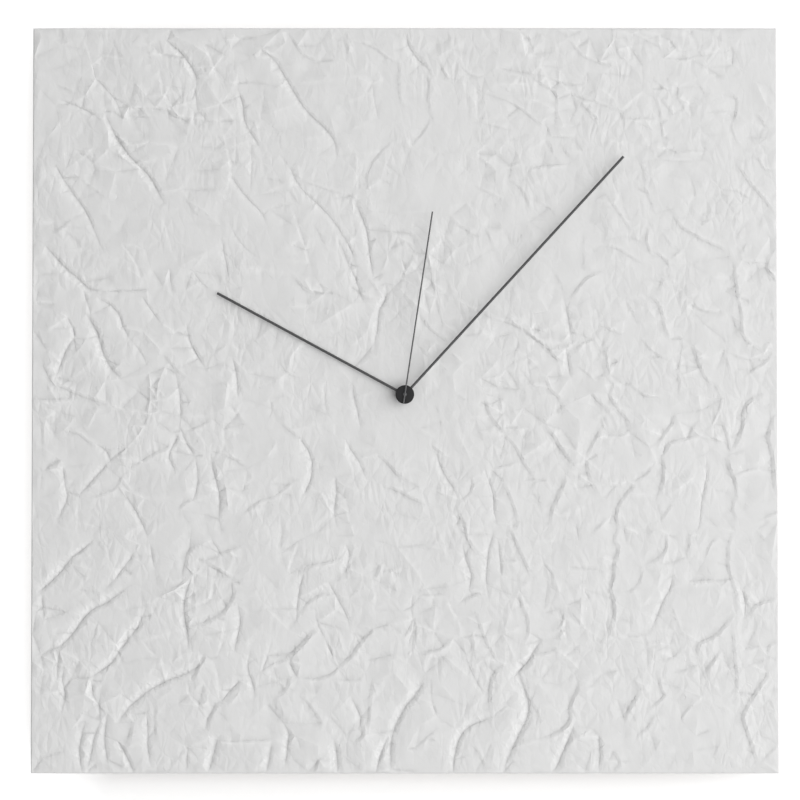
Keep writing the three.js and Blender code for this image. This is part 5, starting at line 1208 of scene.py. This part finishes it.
# How deep a point of a screw's head lies in its recess, from 0 to 1: a cross of two bars with sloped
# ends, or one bar right across
def recessShare(x, z, radius, crossed):
    arm, width = radius * screwValues["armLength"], radius * screwValues["armWidth"]
    soft = radius * screwValues["armSlope"]

    def bar(along, aside, reach):
        lengthwise = np.clip((reach - np.abs(along)) / (soft * 3), 0, 1)
        return lengthwise * np.clip((width - np.abs(aside)) / soft + 0.5, 0, 1)

    return np.maximum(bar(x, z, arm), bar(z, x, arm)) if crossed else bar(x, z, radius * 1.5)


# A screw about its own axis, from the middle of its head to its point. The head is a disc of rings with
# the recess sunk in, and the shank's radius swells by a sharp wave of its depth less a turn for each
# turn about the axis, which winds the thread
def screwSolid(node, outline, shank, crown, crossed):
    low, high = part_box(node)
    x, z = (low[0] + high[0]) / 2, (low[2] + high[2]) / 2
    radius, count = outline[0][0], screwValues["steps"]
    angle = np.linspace(0, 2 * math.pi, count, endpoint=False)
    rings = []

    def addRing(size, depth):
        rings.append(np.stack([x + size * np.cos(angle), np.full(count, depth), z + size * np.sin(angle)], 1))

    deepest = screwValues["recessDepth" if crossed else "slotDepth"]
    sizes = np.linspace(0.03, 0.95, screwValues["headRings"]) * radius
    for size in np.concatenate([sizes, [radius * 0.985]]):
        across, up = size * np.cos(angle), size * np.sin(angle)
        sunk = recessShare(across, up, radius, crossed) * deepest
        addRing(size, high[1] - crown * (size / radius) ** 2 - sunk)
    for size, depth in outline:
        addRing(size, depth)
    pitch, top = screwValues["threadPitch"], outline[-1][1] - 0.0006
    for depth in np.linspace(top, low[1], int((top - low[1]) / pitch * screwValues["ringsPerTurn"])):
        turned = (depth / pitch - angle / (2 * math.pi)) % 1
        swell = np.clip(1 - np.abs(turned - 0.5) * 3.2, 0, 1) * min(1, (top - depth) / pitch)
        taper = np.clip((depth - low[1]) / (shank * 2.6), 0, 1)
        addRing((shank - screwValues["threadDepth"] * (1 - swell)) * (0.08 + 0.92 * taper), depth)
    return ringedSolid(np.array(rings))


# Countersunk screws: the rim, then a cone down to the shank. Each screw's values are its head's radius and
# depth and its shank's radius
def flatScrew(node, head, headDepth, shank):
    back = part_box(node)[1][1]
    outline = [(head, back - 0.0001), (head, back - 0.0003), (shank * 1.04, back - headDepth),
               (shank, back - headDepth - 0.0002)]
    solid = screwSolid(node, outline, shank, screwValues["flatCrown"], True)
    piece = meshObject("turned_" + node, *solid, zinc, 0.5)
    standsFor(piece, "clock_body", "zinc", node)


# Round-headed screws: a crown, a rounded shoulder, the flat underside and the shank
def roundScrew(node, head, headDepth, shank):
    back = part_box(node)[1][1]
    crown = headDepth * 0.55
    under = back - headDepth
    outline = [(head, back - crown - 0.0002), (head, under + 0.0001), (head - 0.0001, under), (shank, under),
               (shank, under - 0.0004)]
    piece = meshObject("turned_" + node, *screwSolid(node, outline, shank, crown, False), zinc, 0.5)
    standsFor(piece, "clock_body", "zinc", node)


# A rubber pad: a disc with a rounded rim, flat on the wall side
def wallPad(node):
    low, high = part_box(node)
    radius, edge, centre = (high[0] - low[0]) / 2, backValues["padEdge"], backValues["centre"]
    profile = [(centre, low[1])] + quarter(radius, low[1], edge * 0.3, "out")
    profile += quarter(radius, high[1], edge, "back") + [(radius * 0.5, high[1]), (centre, high[1])]
    disc = turnedSolid(profile, backValues["padSteps"], (low[0] + high[0]) / 2, (low[2] + high[2]) / 2)
    pad = meshObject("pad_" + node, *disc, rubber)
    standsFor(pad, "clock_body", "rubber_pad", node)


# A body turned about a line along x: each pair of the profile gives the radius of one ring and its x,
# and a wave may add to the radius
def laidSolid(profile, steps, depth, height, wave=None, looped=False):
    angle = np.linspace(0, 2 * math.pi, steps, endpoint=False)
    rings = []
    for radius, x in profile:
        size = radius if wave is None else radius + wave(angle, x)
        back, up = depth + size * np.cos(angle), height + size * np.sin(angle)
        rings.append(np.stack([np.full(steps, x), back, up], 1))
    return ringedSolid(np.array(rings), looped)


# The cell: rounded shoulders, a groove behind the positive end, the raised contact and a dished base
def cell():
    low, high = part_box("battery_cell")
    radius, depth, height = (high[1] - low[1]) / 2, (low[1] + high[1]) / 2, (low[2] + high[2]) / 2
    turn = np.linspace(0, math.pi / 2, 6)
    left, right, nub, centre = low[0], high[0], cellValues["nubRadius"], backValues["centre"]
    base, rim, tip = cellValues["baseEdge"], cellValues["shoulderEdge"], cellValues["nubEdge"]
    shoulder, groove = right - cellValues["nubRise"], right - cellValues["nubRise"] - cellValues["groove"]
    dished = left + cellValues["dish"]
    profile = [(centre, dished), (radius * 0.6, dished), (radius * 0.68, left)]
    profile += [(radius - base * (1 - math.sin(t)), left + base * (1 - math.cos(t))) for t in turn]
    profile += [(radius, left + (shoulder - left) * share) for share in (0.2, 0.5, 0.8)]
    profile += [(radius - rim * (1 - math.cos(t)), shoulder - rim * (1 - math.sin(t))) for t in turn]
    profile += [(radius * 0.62, shoulder - 0.0001), (radius * 0.55, groove), (nub, groove)]
    profile += [(nub - tip * (1 - math.cos(t)), right - tip * (1 - math.sin(t))) for t in turn]
    profile += [(centre, right)]
    solid = laidSolid(profile, cellValues["steps"], depth, height)
    piece = meshObject("wrapped_cell", *solid, sleeveFinish(left, right), 0.5)
    standsFor(piece, "clock_body", "battery_sleeve", "battery_cell")


# The coil's wire: the radius rises and falls once a turn along x, shifted by a turn for each turn about it
def winding():
    low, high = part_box("coil_winding")
    depth, height = (low[1] + high[1]) / 2, (low[2] + high[2]) / 2
    radius, wire = (high[1] - low[1]) / 2, coilValues["wire"]
    inner = radius * coilValues["boreShare"] + coilValues["layer"]

    def turns(angle, x):
        inside = low[0] + wire * 0.6 < x < high[0] - wire * 0.6
        phase = (x - low[0]) / wire + angle / (2 * math.pi)
        return -wire * 0.5 * (1 - np.abs(np.sin(math.pi * phase))) * inside

    along = np.linspace(low[0], high[0], int((high[0] - low[0]) / wire * coilValues["ringsPerTurn"]))
    profile = [(inner, low[0])] + [(radius, x) for x in along] + [(inner, high[0])]
    solid = laidSolid(profile, coilValues["steps"], depth, height, turns, looped=True)
    piece = meshObject("wound_wire", *solid, wireFinish(), 0.7)
    standsFor(piece, "clock_body", "copper", "coil_winding")


def frameAndWorks():
    roundedCopy("dial_board", "clock_body", "fibreboard", fibreboard, backValues["boardEdge"])
    for name, finish in (("top", pineAcross), ("bottom", pineAcross), ("left", pineUp), ("right", pineUp)):
        roundedCopy("batten_" + name, "clock_body", "pine", finish, backValues["woodEdge"])
    for number in range(1, 9):
        flatScrew(f"frame_screw_{number}", *screwValues["frame"])
    for number in range(1, 5):
        wallPad(f"wall_bumper_{number}")
    roundedCopy("hanger_plate", "clock_body", "zinc", zinc, backValues["plateEdge"])
    for side in ("left", "right"):
        flatScrew("hanger_screw_" + side, *screwValues["hanger"])
        roundScrew("movement_screw_" + side, *screwValues["movement"])
    for node in ("movement_case", "movement_cover"):
        roundedCopy(node, "clock_body", "black_plastic", blackMould, backValues["caseEdge"])
    roundedCopy("set_knob", "knob_group", "white_plastic", whiteMould, backValues["knobEdge"])
    for node in ("contact_plus", "contact_minus"):
        roundedCopy(node, "clock_body", "steel", steel, backValues["leafEdge"])
    cell()
    winding()
    roundedCopy("clock_chip", "clock_body", "black_plastic", blackMould, backValues["partEdge"], 0.6, 3)
    roundedCopy("quartz_crystal", "clock_body", "steel", steel, backValues["crystalEdge"])
    dressed("circuit_board", circuitFinish())
    for node in ("middle_plate", "coil_bobbin", "fifth_wheel", "second_wheel", "third_wheel",
                 "minute_work_wheel", "hour_wheel"):
        dressed(node, whiteMould)
    for node in ("centre_wheel", "minute_pipe"):
        dressed(node, brass)
    for node in ("rotor_pinion", "motor_stator", "coil_core"):
        dressed(node, steel)
    dressed("rotor_magnet", sintered)


frameAndWorks()
print("frame and works done")


# Stage: the wall behind the clock, open when seen from its back. Its glow goes by place, in metres, and is
# painted light that lifts the clock's cast shadow on the wall left of it and shapes the one below it. A
# lamp's numbers are its place to the right of the face's middle, behind the wall's plane and above the
# middle, then its size and its power. The light of lamps behind the wall doesn't bounce
stageValues = {"wallGap": 0.0003, "wallSize": 8.0, "wallColor": (0.86, 0.86, 0.86), "wallRoughness": 0.9,
               "paintedLightAcross": ((-0.215, 0.80), (-0.2, 0.66), (-0.155, 0.21)),
               "paintedLightUpward": ((-0.3716, 0.295), (-0.3662, 0.235), (-0.363, 0.235), (-0.34, 0.46)),
               "ambient": 0.25, "aimDepth": -0.03}
lampValues = {"keyLight": ((1.95, -2.4, -0.25), (4.6, 3.8), 129),
              "fillLight": ((-3.1, -2.3, 0.0), (2.4, 2.6), 3),
              "topLight": ((0.2, -2.4, 3.0), (2.4, 1.4), 4),
              "backLight": ((-1.0, 3.2, 1.8), (2.4, 2.4), 95),
              "backFill": ((0.9, 3.4, -0.4), (2.4, 2.4), 47.5)}


def stagePlane(name, corners, material):
    mesh = bpy.data.meshes.new(name)
    mesh.from_pydata(corners, [], [(0, 1, 2, 3)])
    mesh.materials.append(material)
    plane = bpy.data.objects.new(name, mesh)
    bpy.context.scene.collection.objects.link(plane)
    plane.visible_shadow = False


# A pale matt stage. Rays from the camera and in reflections see it with a glow added, so that it comes out
# white away from the clock, and from behind it isn't there. The glow is painted light: it is strongest beside
# the clock's left edge, over the clock's cast shadow, and lowest just under the clock, where it leaves a
# narrow shadow band
def stageFinish(name):
    finish = Finish(name, stageValues["wallColor"], stageValues["wallRoughness"])
    seen = finish.node("ShaderNodeLightPath", {}, {}, "Is Camera Ray")
    glossy = finish.node("ShaderNodeLightPath", {}, {}, "Is Glossy Ray")
    glow = finish.node("ShaderNodeEmission", {}, {"Color": (1.0, 1.0, 1.0), "Strength": 0.0})
    where = finish.node("ShaderNodeTexCoord", {}, {}, "Object")
    levels = []
    # Painted light: ramps across and up the wall set the glow's strength, which washes out the cast shadow
    # left of the clock and trims the one below it
    for axis, stops in ("X", stageValues["paintedLightAcross"]), ("Z", stageValues["paintedLightUpward"]):
        along = finish.node("ShaderNodeSeparateXYZ", {}, {0: where}, axis)
        first, last = stops[0][0], stops[-1][0]
        span = {"Value": along, "From Min": first, "From Max": last}
        share = finish.node("ShaderNodeMapRange", {}, span, "Result")
        shades = [((spot - first) / (last - first), (level,) * 3) for spot, level in stops]
        levels.append(finish.ramp(share, shades))
    strength = seen.worked("MAXIMUM", glossy) * levels[0].worked("MAXIMUM", levels[1])
    finish.feed(glow.socket.node.inputs["Strength"], strength)
    base = Wire(finish, finish.shader.outputs[0])
    lit = finish.node("ShaderNodeAddShader", {}, {0: base, 1: glow})
    backside = finish.node("ShaderNodeNewGeometry", {}, {}, "Backfacing")
    clear = finish.node("ShaderNodeBsdfTransparent", {}, {})
    shown = finish.node("ShaderNodeMixShader", {}, {0: backside, 1: lit, 2: clear})
    finish.feed(finish.tree.nodes["Material Output"].inputs["Surface"], shown)
    return finish.material


def stage():
    size, gap = stageValues["wallSize"] / 2, stageValues["wallGap"]
    pale = stageFinish("paleStage")
    stagePlane("wall", [(-size, gap, -size), (size, gap, -size), (size, gap, size), (-size, gap, size)], pale)


# World: white to the camera and in reflections, a dim even light for everything else
def world():
    sky = bpy.data.worlds.new("studio")
    bpy.context.scene.world = sky
    sky.use_nodes = True
    tree = sky.node_tree
    background = tree.nodes["Background"]
    path = tree.nodes.new("ShaderNodeLightPath")
    either = tree.nodes.new("ShaderNodeMath")
    either.operation = "MAXIMUM"
    tree.links.new(path.outputs["Is Camera Ray"], either.inputs[0])
    tree.links.new(path.outputs["Is Glossy Ray"], either.inputs[1])
    level = tree.nodes.new("ShaderNodeMapRange")
    level.inputs["To Min"].default_value = stageValues["ambient"]
    level.inputs["To Max"].default_value = 1.0
    tree.links.new(either.outputs[0], level.inputs["Value"])
    tree.links.new(level.outputs[0], background.inputs["Strength"])
    background.inputs["Color"].default_value = (1, 1, 1, 1)


# The turn that points a lamp's or camera's -Z along a direction, with its top upward
def turnTowards(direction):
    return Vector(direction).to_track_quat("-Z", "Y").to_euler()


# A wide soft lamp that faces the clock
def softbox(name):
    (right, back, up), (width, height), power = lampValues[name]
    lamp = bpy.data.lights.new(name, "AREA")
    lamp.shape = "RECTANGLE"
    lamp.size, lamp.size_y = width, height
    lamp.energy = power
    if back > 0:
        lamp.cycles.max_bounces = 0
    holder = bpy.data.objects.new(name, lamp)
    bpy.context.scene.collection.objects.link(holder)
    holder.location = (right, back, faceMiddleZ + up)
    aim = np.array([0.0, stageValues["aimDepth"], faceMiddleZ]) - np.array([right, back, faceMiddleZ + up])
    holder.rotation_euler = turnTowards(aim)


# Square to the face from a little below it
cameraValues = {"distance": 2.0, "below": 0.0735, "aimX": -0.0026, "aimZ": -0.0003,
                "viewWidth": 0.4287, "sensor": 36.0, "clip": (0.05, 50)}


def camera():
    data = bpy.data.cameras.new("camera")
    data.sensor_width = cameraValues["sensor"]
    data.lens = cameraValues["sensor"] * cameraValues["distance"] / cameraValues["viewWidth"]
    data.clip_start, data.clip_end = cameraValues["clip"]
    holder = bpy.data.objects.new("camera", data)
    bpy.context.scene.collection.objects.link(holder)
    place = np.array([cameraValues["aimX"], facePlane - cameraValues["distance"],
                      faceMiddleZ - cameraValues["below"]])
    aim = np.array([cameraValues["aimX"], facePlane, faceMiddleZ + cameraValues["aimZ"]])
    holder.location = place
    holder.rotation_euler = turnTowards(aim - place)
    bpy.context.scene.camera = holder


faceMiddleZ, facePlane = faceHeight / toMillimetres, sheetPlane / toMillimetres
stage()
world()
for lampName in lampValues:
    softbox(lampName)
camera()
bpy.context.scene.view_settings.view_transform = "Standard"
print("stage done")
